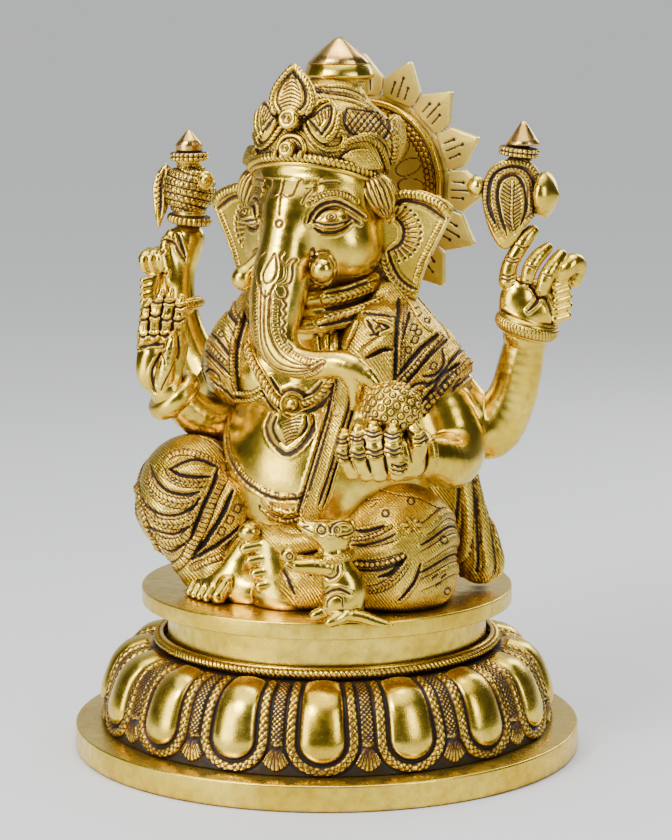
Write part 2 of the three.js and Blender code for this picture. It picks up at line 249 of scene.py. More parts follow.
def skin(form, step):
    """Quads on the form's surface, from a grid of step millimetres (surface nets).

    The grid is only filled in near the surface, which blocks of GRID_BLOCK cells find first."""
    block = GRID_BLOCK
    origin = form.low - 2 * step
    blocks = np.ceil((form.high - form.low + 4 * step) / (step * block)).astype(int)
    size = blocks * block + 1
    middles = np.stack(np.meshgrid(*[np.arange(n) for n in blocks], indexing="ij"), -1).reshape(-1, 3)
    at = origin + (middles + 0.5) * step * block
    rough = form(at).reshape(blocks)
    near = np.abs(rough) < step * block * BLOCK_REACH
    values = np.repeat(np.repeat(np.repeat(rough, block, 0), block, 1), block, 2)
    values = np.pad(values, ((0, 1),) * 3, mode="edge").astype(np.float32)
    wanted = np.zeros(size, bool)
    spread = np.repeat(np.repeat(np.repeat(near, block, 0), block, 1), block, 2)
    for i, j, k in CELL_CORNERS:
        wanted[i : size[0] - 1 + i, j : size[1] - 1 + j, k : size[2] - 1 + k] |= spread
    nodes = np.argwhere(wanted)
    found = np.empty(len(nodes), np.float32)
    for start in range(0, len(nodes), POINTS_AT_ONCE):
        part = slice(start, start + POINTS_AT_ONCE)
        found[part] = form(origin + nodes[part] * step)
    values[wanted] = found
    inside = values < 0
    count = inside[:-1, :-1, :-1].astype(np.int8)
    for i, j, k in CELL_CORNERS[1:]:
        count = count + inside[i : size[0] - 1 + i, j : size[1] - 1 + j, k : size[2] - 1 + k]
    cells = np.argwhere((count > 0) & (count < 8))
    label = np.full(tuple(size - 1), -1, np.int32)
    label[tuple(cells.T)] = np.arange(len(cells))
    total, crossings = np.zeros((len(cells), 3)), np.zeros(len(cells))
    for axis in range(3):
        for a in range(2):
            for b in range(2):
                corner = np.zeros(3, int)
                corner[(axis + 1) % 3], corner[(axis + 2) % 3] = a, b
                other = corner.copy()
                other[axis] = 1
                va = values[tuple((cells + corner).T)]
                vb = values[tuple((cells + other).T)]
                crossed = (va < 0) != (vb < 0)
                share = np.where(crossed, va / np.where(crossed, va - vb, 1), 0)
                spot = corner + share[:, None] * (other - corner)
                total += spot * crossed[:, None]
                crossings += crossed
    points = origin + (cells + total / crossings[:, None]) * step
    quads = []
    for axis in range(3):
        u, v = (axis + 1) % 3, (axis + 2) % 3
        first = np.take(inside, np.arange(size[axis] - 1), axis)
        second = np.take(inside, np.arange(1, size[axis]), axis)
        edges = np.argwhere(first != second)
        edges = edges[(edges[:, u] > 0) & (edges[:, v] > 0)]
        edges = edges[(edges[:, u] < size[u] - 1) & (edges[:, v] < size[v] - 1)]
        outward = first[tuple(edges.T)]
        du, dv = np.eye(3, dtype=int)[u], np.eye(3, dtype=int)[v]
        ring = [label[tuple((edges - shift).T)] for shift in (du + dv, dv, 0 * du, du)]
        quad = np.stack(ring, 1)
        quad[~outward] = quad[~outward][:, ::-1]
        quads.append(quad)
    points = settle(form, points, 0.0, 2)
    return points, np.vstack(quads)


class Surface:
    """Points, quads and ink (0 clean, 1 dark: patina, and on the chest also painted shadow) gathered into one
    mesh.
    """

    def __init__(self):
        self.points, self.quads, self.ink, self.count = [], [], [], 0

    def add(self, points, quads, ink=0.0):
        self.points.append(points)
        self.quads.append(quads + self.count)
        self.ink.append(np.broadcast_to(np.asarray(ink, float), (len(points),)))
        self.count += len(points)
        return self

    def add_form(self, form, step, relief=None):
        """relief(points, normals) gives how far each point moves outwards, and its ink."""
        points, quads = skin(form, step)
        if relief is None:
            return self.add(points, quads)
        normals = slopes(form, points)
        rise, ink = relief(points, normals)
        return self.add(points + normals * rise[:, None], quads, ink)

    def make(self, name, node, finish):
        """The Blender piece that replaces a CAD node. finish is its material and its slot; the slot is not
        used.
        """
        material, slot = finish
        points = np.vstack(self.points) * UNIT
        quads = np.vstack(self.quads)
        mesh = bpy.data.meshes.new(name)
        mesh.vertices.add(len(points))
        mesh.vertices.foreach_set("co", points.astype(np.float32).ravel())
        mesh.loops.add(quads.size)
        mesh.loops.foreach_set("vertex_index", quads.astype(np.int32).ravel())
        mesh.polygons.add(len(quads))
        mesh.polygons.foreach_set("loop_start", np.arange(0, quads.size, 4, dtype=np.int32))
        mesh.polygons.foreach_set("use_smooth", np.ones(len(quads), bool))
        ink = mesh.attributes.new("ink", "FLOAT", "POINT")
        ink.data.foreach_set("value", np.concatenate(self.ink).astype(np.float32))
        mesh.update(calc_edges=True)
        mesh.validate()
        piece = bpy.data.objects.new(name, mesh)
        bpy.context.scene.collection.objects.link(piece)
        mesh.materials.append(material)
        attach(piece, "root")
        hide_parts(node)
        return piece


# ---- Sweeps: ropes, beads and turned forms -------------------------------------------------------


def spaced(points, gap):
    """The polyline resampled to even steps of about gap."""
    points = np.asarray(points, float)
    lengths = np.r_[0, np.cumsum(np.linalg.norm(np.diff(points, axis=0), axis=1))]
    count = max(int(round(lengths[-1] / gap)), 2)
    even = np.linspace(0, lengths[-1], count + 1)
    return np.stack([np.interp(even, lengths, points[:, axis]) for axis in range(3)], 1), even


def round_angles(columns):
    return np.arange(columns) / columns * 2 * math.pi


def revolved(radius, height, angles):
    """A turned surface as rows of points, from columns of radius and height."""
    return np.stack([radius * np.cos(angles), radius * np.sin(angles), height + 0 * angles], -1)


def axes_along(axis, helper):
    """Two directions across axis, the first square to helper, and then axis itself."""
    axis = np.array(axis, float) / np.linalg.norm(axis)
    across = np.cross(axis, helper)
    across /= np.linalg.norm(across)
    return np.stack([across, np.cross(axis, across), axis])


def grid_quads(rows, columns, wrap_rows=False):
    """Quads between the points of a grid whose rows close on themselves. wrap_rows joins its ends too."""
    i = np.arange(rows if wrap_rows else rows - 1)
    j = np.arange(columns)
    i, j = (a.ravel() for a in np.meshgrid(i, j, indexing="ij"))
    i2, j2 = (i + 1) % rows, (j + 1) % columns
    return np.stack([i * columns + j, i * columns + j2, i2 * columns + j2, i2 * columns + j], 1)


def sweep(path, radius, sides, closed=False, up=None):
    """A tube along path. radius is a number or a function of (angle, length along the path)."""
    points, along = path
    count = len(points)
    ahead = np.roll(points, -1, 0) - np.roll(points, 1, 0)
    if not closed:
        ahead[0], ahead[-1] = points[1] - points[0], points[-1] - points[-2]
    ahead /= np.maximum(np.linalg.norm(ahead, axis=1), 1e-9)[:, None]
    if up is None:
        up = np.empty_like(points)
        side = np.cross(ahead[0], [0.13, 0.21, 0.97])
        for index in range(count):
            side = side - ahead[index] * (side @ ahead[index])
            side /= np.linalg.norm(side)
            up[index] = side
    up = up - ahead * np.sum(up * ahead, 1)[:, None]
    up /= np.maximum(np.linalg.norm(up, axis=1), 1e-9)[:, None]
    across = np.cross(ahead, up)
    angles = round_angles(sides)
    if callable(radius):
        reach = radius(angles[None, :], along[:, None])
    else:
        reach = np.full((count, sides), float(radius))
    if not closed:
        ends = np.ones(count)
        ends[[0, -1]] = 0.05
        if count > 4:
            ends[[1, -2]] = 0.8
        reach = reach * ends[:, None]
    ring = points[:, None] + reach[..., None] * (
        np.cos(angles)[None, :, None] * across[:, None] + np.sin(angles)[None, :, None] * up[:, None]
    )
    return ring.reshape(-1, 3), grid_quads(count, sides, closed)[:, ::-1]


def plain_ring(points, radius):
    """A plain tube through points that close on themselves."""
    return sweep((points, np.zeros(len(points))), radius, 8, True)


ROPE_STEP = 0.55
ROPE_SIDES = 10


def rope(points, radius, lay, closed=False, up=None, hand=1, strands=3, depth=0.3):
    """A laid rope: lumps every lay millimetres, winding right (hand 1) or left (hand -1)."""
    path = spaced(np.vstack([points, points[:1]]) if closed else points, ROPE_STEP)
    if up is not None:
        source = spaced(points, ROPE_STEP)[1]
        old = np.linspace(0, source[-1], len(up))
        up = np.stack([np.interp(path[1], old, up[:, axis]) for axis in range(3)], 1)
    if closed:
        path = (path[0][:-1], path[1][:-1])
        up = None if up is None else up[: len(path[0])]
        lay = path[1][-1] / max(round(path[1][-1] / lay), 1)

    def reach(angle, along):
        phase = strands * angle / 2 + hand * math.pi * along / lay
        return radius * (1 - depth + depth * np.abs(np.cos(phase)))

    points, quads = sweep(path, reach, ROPE_SIDES, closed, up)
    angle = round_angles(ROPE_SIDES)
    lump = np.abs(np.cos(strands * angle[None, :] / 2 + hand * math.pi * path[1][:, None] / lay))
    return points, quads, (0.8 * np.clip(1 - lump / 0.5, 0, 1) * min(depth / 0.3, 1)).ravel()


# ---- Materials -----------------------------------------------------------------------------------
# The first two colours are the dark patina and its brown stain. The brass material also paints them into
# occluded hollows, creases and gaps between parts as painted shade.
PATINA_AND_SHADE = (0.014, 0.007, 0.004, 1)
STAIN_AND_SHADE = (0.23, 0.085, 0.008, 1)
BRASS_LOW = (0.45, 0.26, 0.02, 1)
BRASS_MID = (0.73, 0.495, 0.035, 1)
BRASS_HIGH = (0.90, 0.68, 0.095, 1)
COPPER = (0.62, 0.30, 0.16, 1)
PALE_BRASS = (0.95, 0.80, 0.22, 1)
STEEL_DARK = (0.30, 0.29, 0.27, 1)
STEEL_LIGHT = (0.48, 0.46, 0.43, 1)
OCCLUSION_REACH = 0.0045
BUMP_REACH = 0.0006


class Nodes:
    """Shorthand for building one material's node tree."""

    def __init__(self, name):
        self.material = bpy.data.materials.new(name)
        self.material.use_nodes = True
        self.tree = self.material.node_tree
        self.shader = self.tree.nodes["Principled BSDF"]

    def link(self, source, target):
        self.tree.links.new(source, target)

    def node(self, kind, inputs=None, **settings):
        made = self.tree.nodes.new(kind)
        for key, value in settings.items():
            setattr(made, key, value)
        for key, value in (inputs or {}).items():
            if isinstance(value, bpy.types.NodeSocket):
                self.link(value, made.inputs[key])
            else:
                made.inputs[key].default_value = value
        return made

    def math(self, operation, a, b=0.0, clamp=False):
        return self.node("ShaderNodeMath", {0: a, 1: b}, operation=operation, use_clamp=clamp).outputs[0]

    def noise(self, coords, scale, detail=3.0, roughness=0.5):
        made = self.node("ShaderNodeTexNoise", {"Vector": coords, "Scale": scale, "Detail": detail,
            "Roughness": roughness})
        return made.outputs["Fac"]

    def mix(self, share, a, b):
        made = self.node("ShaderNodeMix", data_type="RGBA", clamp_factor=True)
        for socket, value in zip((made.inputs[0], made.inputs[6], made.inputs[7]), (share, a, b)):
            if isinstance(value, bpy.types.NodeSocket):
                self.link(value, socket)
            else:
                socket.default_value = value
        return made.outputs[2]

    def ramp(self, value, low_end, high_end, low_out=0.0, high_out=1.0):
        made = self.node(
            "ShaderNodeMapRange", {0: value, 1: low_end, 2: high_end, 3: low_out, 4: high_out}, clamp=True
        )
        return made.outputs[0]


def brass(name, patina_and_shade_amount=1.0, gloss=0.24, grain="cast", tint=None, metal=1.0):
    """Rubbed brass with dark patina in its hollows. grain is cast, turned or stippled. Its hollows, creases
    and the gaps between parts are also darkened as painted shade, from ambient occlusion and pointiness.

    The second argument is how much patina and painted shade it keeps, gloss its roughness where it is clean,
    and metal how metallic it is."""
    n = Nodes(name)
    coords = n.node("ShaderNodeTexCoord").outputs["Object"]
    broad = n.noise(coords, 28, 4, 0.6)
    mottle = n.noise(coords, 170, 5, 0.65)
    fine = n.noise(coords, 1300, 2, 0.5)
    colour = n.mix(n.ramp(broad, 0.35, 0.65), BRASS_MID, BRASS_HIGH)
    colour = n.mix(n.math("MULTIPLY", n.ramp(mottle, 0.42, 0.72), 0.55), colour, BRASS_LOW)
    if tint is not None:
        colour = n.mix(0.5, colour, tint)
    # Painted shade: ambient occlusion darkens hollows and the gaps between parts, and low pointiness darkens
    # creases. This stands both for the patina the brass keeps there and for the shade that falls there.
    occlusion = n.node("ShaderNodeAmbientOcclusion", {"Distance": OCCLUSION_REACH}, samples=6).outputs["AO"]
    hollow = n.ramp(occlusion, 0.74, 0.30)
    pointed = n.node("ShaderNodeNewGeometry").outputs["Pointiness"]
    crease = n.ramp(pointed, 0.485, 0.40)
    ink = n.node("ShaderNodeAttribute", attribute_name="ink", attribute_type="GEOMETRY").outputs["Fac"]
    patchy = n.ramp(mottle, 0.3, 0.7, 0.55, 1.25)
    grime_and_painted_shade = n.math("ADD", n.math("MULTIPLY", hollow, 0.85 * patina_and_shade_amount), n.math("MULTIPLY", crease, 0.45 * patina_and_shade_amount))
    worn = n.ramp(n.noise(coords, 240, 3, 0.7), 0.32, 0.55, 0.72, 1.25)
    grime_and_painted_shade = n.math("ADD", n.math("MULTIPLY", grime_and_painted_shade, patchy), n.math("MULTIPLY", ink, worn))
    speck = n.math("MULTIPLY", n.ramp(n.noise(coords, 420, 3, 0.7), 0.62, 0.75), 0.35 * patina_and_shade_amount)
    grime_and_painted_shade = n.math("ADD", grime_and_painted_shade, speck, clamp=True)
    if grain == "stippled":
        hatch = n.node(
            "ShaderNodeTexWave",
            {"Vector": coords, "Scale": 270.0, "Distortion": 9.0, "Detail": 1.0, "Detail Scale": 0.12},
            bands_direction="DIAGONAL",
        ).outputs["Fac"]
        grime_and_painted_shade = n.math("ADD", grime_and_painted_shade, n.ramp(hatch, 0.4, 0.0, 0.0, 0.26), clamp=True)
    stained_and_shaded = n.mix(n.ramp(grime_and_painted_shade, 0.08, 0.5), colour, STAIN_AND_SHADE)
    final = n.mix(n.ramp(grime_and_painted_shade, 0.38, 0.85), stained_and_shaded, PATINA_AND_SHADE)
    n.link(final, n.shader.inputs["Base Color"])
    rough = n.ramp(mottle, 0.3, 0.7, gloss - 0.05, gloss + 0.09)
    rough = n.math("ADD", rough, n.math("MULTIPLY", grime_and_painted_shade, 0.35), clamp=True)
    n.link(rough, n.shader.inputs["Roughness"])
    n.link(n.ramp(grime_and_painted_shade, 0.35, 0.9, metal, 0.25), n.shader.inputs["Metallic"])
    if grain == "turned":
        split = n.node("ShaderNodeSeparateXYZ", {0: coords})
        flat = n.node("ShaderNodeCombineXYZ", {0: split.outputs[0], 1: split.outputs[1], 2: 0.0}).outputs[0]
        radius = n.node("ShaderNodeVectorMath", {0: flat}, operation="LENGTH").outputs["Value"]
        wander = n.math("MULTIPLY", n.noise(coords, 9, 1), 0.004)
        rings = n.node(
            "ShaderNodeCombineXYZ",
            {0: n.math("ADD", radius, wander), 1: n.math("ADD", split.outputs[2], wander), 2: 0.0},
        ).outputs[0]
        height = n.noise(rings, 900, 3, 0.7)
        strength = 0.10
    elif grain == "stippled":
        height = n.math("ADD", n.math("MULTIPLY", hatch, 0.75), n.noise(coords, 1100, 1, 0.5))
        strength = 0.5
    else:
        height = n.math("ADD", n.math("MULTIPLY", fine, 0.5), n.math("MULTIPLY", mottle, 0.8))
        strength = 0.16
    bump = n.node("ShaderNodeBump", {"Height": height, "Strength": strength, "Distance": BUMP_REACH})
    n.link(bump.outputs[0], n.shader.inputs["Normal"])
    return n.material


# Each finish is a material and its slot.
ANTIQUE = (brass("antique_brass_cast", 1.15, 0.23), "antique_brass")
POLISHED = (brass("polished_brass_buffed", 0.5, 0.2), "polished_brass")
SATIN = (brass("polished_brass_turned", 0.8, 0.27, "turned"), "polished_brass")
CLOTH = (brass("antique_brass_stippled", 1.45, 0.25, "stippled"), "antique_brass")
COPPERY = (brass("antique_brass_coppery", 0.6, 0.25, "cast", COPPER), "polished_brass")
PALE = (brass("polished_brass_satin", 0.5, 0.36, "cast", PALE_BRASS, 0.6), "polished_brass")
BRACKET = (ANTIQUE[0], "polished_brass")


def steel(name):
    n = Nodes(name)
    coords = n.node("ShaderNodeTexCoord").outputs["Object"]
    mottle = n.noise(coords, 300, 4, 0.6)
    n.link(n.mix(mottle, STEEL_DARK, STEEL_LIGHT), n.shader.inputs["Base Color"])
    n.link(n.ramp(mottle, 0.3, 0.7, 0.3, 0.5), n.shader.inputs["Roughness"])
    bump = n.node("ShaderNodeBump", {"Height": mottle, "Strength": 0.2, "Distance": 0.0004})
    n.link(bump.outputs[0], n.shader.inputs["Normal"])
    n.shader.inputs["Metallic"].default_value = 1.0
    return n.material


STEEL = steel("steel_hardware_zinc")
for hardware in ("figure_stud", "stud_washer", "stud_nut"):
    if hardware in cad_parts:
        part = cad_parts[hardware]
        part.data.materials.clear()
        part.data.materials.append(STEEL)


# ---- Camera, lights and floor --------------------------------------------------------------------
VIEW_TURN = math.radians(FRONT_TURN)
CAMERA_AWAY = 11.103 * FOOT_RADIUS
CAMERA_HEIGHT = 3.092 * FOOT_RADIUS
CAMERA_OFFSET = 0.036 * FOOT_RADIUS
CAMERA_TILT = 9.18
LENS = 122.53


def around(away, offset, height, turn=VIEW_TURN):
    """A place seen from the object: away towards the camera side, offset to its right, in metres."""
    x = offset * math.cos(turn) + away * math.sin(turn)
    y = offset * math.sin(turn) - away * math.cos(turn)
    return (x, y, height)


camera_data = bpy.data.cameras.new("camera")
camera_data.lens = LENS
camera_data.clip_end = 200
camera = bpy.data.objects.new("camera", camera_data)
camera.location = [v * UNIT for v in around(CAMERA_AWAY, CAMERA_OFFSET, CAMERA_HEIGHT)]
camera.rotation_euler = (math.radians(90 - CAMERA_TILT), 0, VIEW_TURN)
bpy.context.scene.collection.objects.link(camera)
bpy.context.scene.camera = camera


def softbox(name, place, target, width, height, power):
    """A rectangular lamp at place, turned to target; sizes in metres, power in watts."""
    lamp = bpy.data.lights.new(name, "AREA")
    lamp.shape = "RECTANGLE"
    lamp.size, lamp.size_y, lamp.energy = width, height, power
    made = bpy.data.objects.new(name, lamp)
    made.location = place
    direction = mathutils.Vector(target) - mathutils.Vector(place)
    made.rotation_euler = direction.to_track_quat("-Z", "Y").to_euler()
    bpy.context.scene.collection.objects.link(made)


CENTRE = (0, 0, 0.19)
softbox("key_light", around(0.9, -0.75, 1.15), CENTRE, 0.42, 0.42, 20)
softbox("fill_light", around(1.0, 0.95, 0.7), CENTRE, 0.4, 0.8, 8)
softbox("low_light", around(0.95, 0.0, 0.42, math.radians(-26)), (0, 0, 0.25), 0.5, 0.8, 8)
softbox("top_light", around(-0.1, 0.1, 1.5), CENTRE, 0.8, 0.6, 10)
softbox("rim_light", around(-0.9, 0.7, 0.8), CENTRE, 0.4, 0.8, 7)
sky = bpy.data.lights.new("sky_light", "SUN")
sky.energy, sky.angle = 2.5, math.radians(70)
sky_piece = bpy.data.objects.new("sky_light", sky)
bpy.context.scene.collection.objects.link(sky_piece)

# The studio's walls grow lighter towards the side behind the object.
world = bpy.data.worlds.new("studio")
world.use_nodes = True
bpy.context.scene.world = world
world_tree = world.node_tree
world_coords = world_tree.nodes.new("ShaderNodeTexCoord")
world_facing = world_tree.nodes.new("ShaderNodeVectorMath")
world_facing.operation = "DOT_PRODUCT"
world_facing.inputs[1].default_value = (-math.sin(VIEW_TURN), math.cos(VIEW_TURN), 0)
world_ramp = world_tree.nodes.new("ShaderNodeValToRGB")
world_tree.links.new(world_coords.outputs["Generated"], world_facing.inputs[0])
world_tree.links.new(world_facing.outputs["Value"], world_ramp.inputs[0])
world_tree.links.new(world_ramp.outputs[0], world_tree.nodes["Background"].inputs[0])
world_ramp.color_ramp.elements[0].position = 0.45
world_ramp.color_ramp.elements[0].color = (0.06, 0.06, 0.06, 1)
world_ramp.color_ramp.elements[1].position = 0.92
world_ramp.color_ramp.elements[1].color = (0.66, 0.67, 0.68, 1)
world_tree.nodes["Background"].inputs[1].default_value = 1.0

FLOOR_REACH = 60
floor_mesh = bpy.data.meshes.new("floor")
floor_mesh.from_pydata(
    [(x * FLOOR_REACH, y * FLOOR_REACH, cad_box[0][2]) for x, y in ((-1, -1), (1, -1), (1, 1), (-1, 1))],
    [],
    [(0, 1, 2, 3)],
)
floor = bpy.data.objects.new("floor", floor_mesh)
bpy.context.scene.collection.objects.link(floor)
floor_paint = Nodes("floor_paint")
floor_paint.shader.inputs["Base Color"].default_value = (0.62, 0.63, 0.64, 1)
floor_paint.shader.inputs["Roughness"].default_value = 0.7
floor_mesh.materials.append(floor_paint.material)


# ---- Pedestal ------------------------------------------------------------------------------------


CORNER_STEPS = 4


def softened(corners, radius):
    """A closed profile with each corner rounded."""
    corners = np.array(corners, float)
    out = []
    for index, corner in enumerate(corners):
        before, after = corners[index - 1], corners[(index + 1) % len(corners)]
        back = (before - corner) / np.linalg.norm(before - corner)
        ahead = (after - corner) / np.linalg.norm(after - corner)
        reach = min(radius, np.linalg.norm(before - corner) / 2.1, np.linalg.norm(after - corner) / 2.1)
        for step in range(CORNER_STEPS + 1):
            t = step / CORNER_STEPS
            out.append(corner + back * reach * (1 - t) ** 2 + ahead * reach * t**2)
    return np.array(out)


def ring_body(corners, columns, radius):
    """A turned ring, from the corners of its section and the radius that rounds them."""
    profile = softened(corners, radius)
    points = revolved(profile[:, :1], profile[:, 1:], round_angles(columns))
    return points.reshape(-1, 3), grid_quads(len(profile), columns, True)


PLATE_HOLE = 4.4
FOOT_WIDTH = 40
FOOT_TOP_INNER = 96.3
foot = Surface()
foot_section = [(FOOT_RADIUS - FOOT_WIDTH, 0), (FOOT_RADIUS, 0), (FOOT_RADIUS, FOOT_TOP),
    (FOOT_TOP_INNER, FOOT_TOP)]
foot.add(*ring_body(foot_section, 360, 1.1))
foot.make("foot_plate_turned", "foot_plate", SATIN)

seat = Surface()
seat.add(
    *ring_body(
        [
            (PLATE_HOLE, SEAT_TOP - 5),
            (SEAT_RADIUS - 6.5, SEAT_TOP - 5),
            (SEAT_RADIUS - 6.5, SEAT_LOW),
            (SEAT_RADIUS, SEAT_LOW),
            (SEAT_RADIUS, SEAT_TOP),
            (PLATE_HOLE, SEAT_TOP),
        ],
        300,
        0.9,
    )
)
seat.make("seat_plate_turned", "seat_plate", SATIN)

waist = Surface()
waist_top, waist_low = high("waist_band")[2], low("waist_band")[2]
waist.add(
    *ring_body(
        [
            (WAIST_RADIUS - 6, waist_low),
            (WAIST_RADIUS, waist_low),
            (WAIST_RADIUS - 0.5, (waist_low + waist_top) / 2),
            (WAIST_RADIUS, waist_top),
            (WAIST_RADIUS - 6, waist_top),
        ],
        256,
        0.7,
    )
)
waist.make("waist_band_turned", "waist_band", SATIN)

bead_at = middle("bead_ring")[2]
bead_thick = (high("bead_ring")[2] - low("bead_ring")[2]) / 2
bead_reach = high("bead_ring")[0] - bead_thick
turns = np.linspace(0, 2 * math.pi, 721)[:-1]
circle = np.stack([np.cos(turns), np.sin(turns), 0 * turns], 1)
beads = Surface()
bead_path = circle * (bead_reach + 0.2) + [0, 0, bead_at + 0.2]
beads.add(*rope(bead_path, bead_thick * 0.74, 2.6, True, strands=2, depth=0.34))
beads.add(*plain_ring(circle * (bead_reach - 1.5) + [0, 0, bead_at - 1.9], 1.4))
beads.add(*plain_ring(circle * (bead_reach - 1.8) + [0, 0, bead_at + 1.9], 1.3))
beads.make("bead_ring_rope", "bead_ring", ANTIQUE)

# The lotus drum: a turned band whose outside carries sixteen petals, each in a braided frame.
# The two profiles are (radius, height) points; distances on the outside run up its profile.
DRUM_PROFILE = [(120.6, 14.2), (120.4, 18.5), (119.8, 23), (118.7, 28), (116.9, 35), (113.2, 44.3),
    (109.6, 49.5), (105.1, 53), (95.5, 56)]
DRUM_INSIDE = [(80.0, 56.0), (80.0, 53.0), (90, 51), (98, 47), (106, 40), (111, 30), (113, 20), (113.5, 14.2)]
DRUM_COLUMNS = 1152
DRUM_MESH_STEP = 0.62
PETAL_CENTRE = 17.2
PETAL_HALF = 11.4
PETAL_SWELL = 4.4
FRAME_START, FRAME_END = 1.9, 7.1
STRETCH = 117.0
BRAID_START = 15.5
FAN_HUB = 16.5
FAN_REACH = 14.6
FAN_RAY = 0.17


def smooth_step(value, start, end):
    share = np.clip((value - start) / (end - start), 0, 1)
    return share * share * (3 - 2 * share)


def bump_between(value, start, end, edge=0.7):
    """1 between start and end, falling to 0 over edge outside them."""
    return smooth_step(value, start, start + edge) * (1 - smooth_step(value, end - edge, end))


def crosshatch(u, v, pitch, width):
    """1 on the lines of a lattice of diamonds."""
    a, b = (u + v) / pitch, (u - v) / pitch
    near = np.minimum(np.abs(a - np.round(a)), np.abs(b - np.round(b))) * pitch
    return 1 - smooth_step(near, width * 0.3, width)


def petal_relief(angles, along):
    """Rise and ink over the drum's outside, for angles (columns) and distance up the profile (rows)."""
    pitch = 2 * math.pi / PETALS
    turn = angles - VIEW_TURN + math.pi / 2 + math.radians(1)
    local = (turn + pitch / 2) % pitch - pitch / 2
    u = (local * STRETCH)[None, :] + 0 * along[:, None]
    s = along[:, None] + 0 * u
    gap = pitch * STRETCH / 2 - np.abs(u)
    half = PETAL_HALF - 0.02 * np.maximum(s - PETAL_CENTRE, 0)
    below = np.hypot(u, 1.08 * (PETAL_CENTRE - s)) - PETAL_HALF
    edge = np.where(s > PETAL_CENTRE, np.abs(u) - half, below)
    depth = np.clip(-edge / PETAL_HALF, 0, 1)
    lobe = PETAL_SWELL * np.sqrt(np.clip(1 - (1 - depth) ** 2, 0, 1)) * (0.72 + 0.28 * smooth_step(s, 50, 25))
    rise = np.where(edge < 0, lobe, 0.0)
    ink = 1.0 * bump_between(edge, -0.35, FRAME_START + 0.35, 0.6)
    rise = rise - 0.9 * bump_between(edge, 0, FRAME_START)
    band = bump_between(edge, FRAME_START, FRAME_END, 0.9)
    round_foot = -np.arctan2(PETAL_CENTRE - s, np.abs(u)) * (PETAL_HALF + 4)
    run = np.where(s > PETAL_CENTRE, s - PETAL_CENTRE, round_foot)
    middle_of_band = (FRAME_START + FRAME_END) / 2
    hatch = crosshatch(run, edge - middle_of_band, 3.6, 0.75) * band
    border = bump_between(np.abs(edge - middle_of_band), 1.6, 2.5, 0.45)
    rise = rise + 1.9 * band - 0.5 * hatch
    ink = ink + 0.55 * hatch + 0.35 * border * band
    groove = bump_between(edge, FRAME_END - 0.2, FRAME_END + 1.5, 0.6)
    rise = rise - 0.9 * groove
    ink = ink + groove
    outside = smooth_step(edge, FRAME_END + 0.9, FRAME_END + 1.6)
    strip = outside * smooth_step(s, BRAID_START, 17)
    braid = crosshatch(s * 1.05, gap, 2.7, 0.8) * strip
    rise = rise + strip * 1.3 * (1 - smooth_step(gap, 2.4, 3.6)) - 0.6 * braid
    ink = ink + 0.9 * braid + 0.6 * strip * smooth_step(gap, 2.6, 3.4)
    fan_angle = np.arctan2(gap, np.maximum(FAN_HUB - s, 0.01))
    fan_reach = np.hypot(gap, FAN_HUB - s)
    fan_edge = smooth_step(FAN_REACH - gap * 0.35 - fan_reach, 0, 0.8)
    fan = outside * (s < BRAID_START) * smooth_step(fan_angle, 0.72, 0.62) * fan_edge
    rays = np.abs((fan_angle / FAN_RAY + 0.5) % 1 - 0.5) * FAN_RAY * fan_reach
    ray = (1 - smooth_step(rays, 0.2, 0.55)) * fan
    rise = rise + 1.7 * fan - 0.5 * ray
    ink = ink + 0.7 * ray + outside * (s < BRAID_START) * (1 - fan) * 0.9
    knob = np.hypot(gap, s - 15.6)
    rise = rise + 1.6 * (1 - smooth_step(knob, 1.2, 2.6)) * outside
    return rise, np.clip(ink, 0, 1)


def lotus():
    """The drum's outside with its relief, closed by a plain inside."""
    curve = curve_through(DRUM_PROFILE, 6)
    outside, along = spaced(np.c_[curve, np.zeros(len(curve))], DRUM_MESH_STEP)
    outside = outside[:, :2]
    angles = round_angles(DRUM_COLUMNS)
    tangent = np.gradient(outside, axis=0)
    tangent /= np.linalg.norm(tangent, axis=1)[:, None]
    rise, ink = petal_relief(angles, along)
    fade = smooth_step(along, 0, 0.5) * smooth_step(along[-1] - along, 0, 2.0)
    rise = rise * fade[:, None]
    radius = outside[:, :1] + rise * tangent[:, 1:]
    height = outside[:, 1:] - rise * tangent[:, :1]
    inside = np.array(DRUM_INSIDE)
    plain = revolved(inside[:, :1], inside[:, 1:], angles)
    grid = np.concatenate([revolved(radius, height, angles), plain])
    inks = np.concatenate([ink, np.zeros((len(inside), DRUM_COLUMNS))])
    drum = Surface()
    drum.add(grid.reshape(-1, 3), grid_quads(len(grid), DRUM_COLUMNS, True), inks.ravel())
    return drum


lotus().make("lotus_drum_petals", "lotus_drum", ANTIQUE)


# ---- Drawing on forms ----------------------------------------------------------------------------
# A sketch is drawn on a plane in front of a form, in millimetres right and up from an origin, and
# falls straight onto the form. Its strokes are then raised from or cut into the form's mesh.


def view_axes(turn, tilt):
    """Right, up and towards for somebody looking at the object from turn and tilt, in degrees."""
    t, p = math.radians(turn), math.radians(tilt)
    right = np.array([math.cos(t), math.sin(t), 0.0])
    towards = np.array([math.sin(t) * math.cos(p), -math.cos(t) * math.cos(p), math.sin(p)])
    return right, np.cross(towards, right), towards


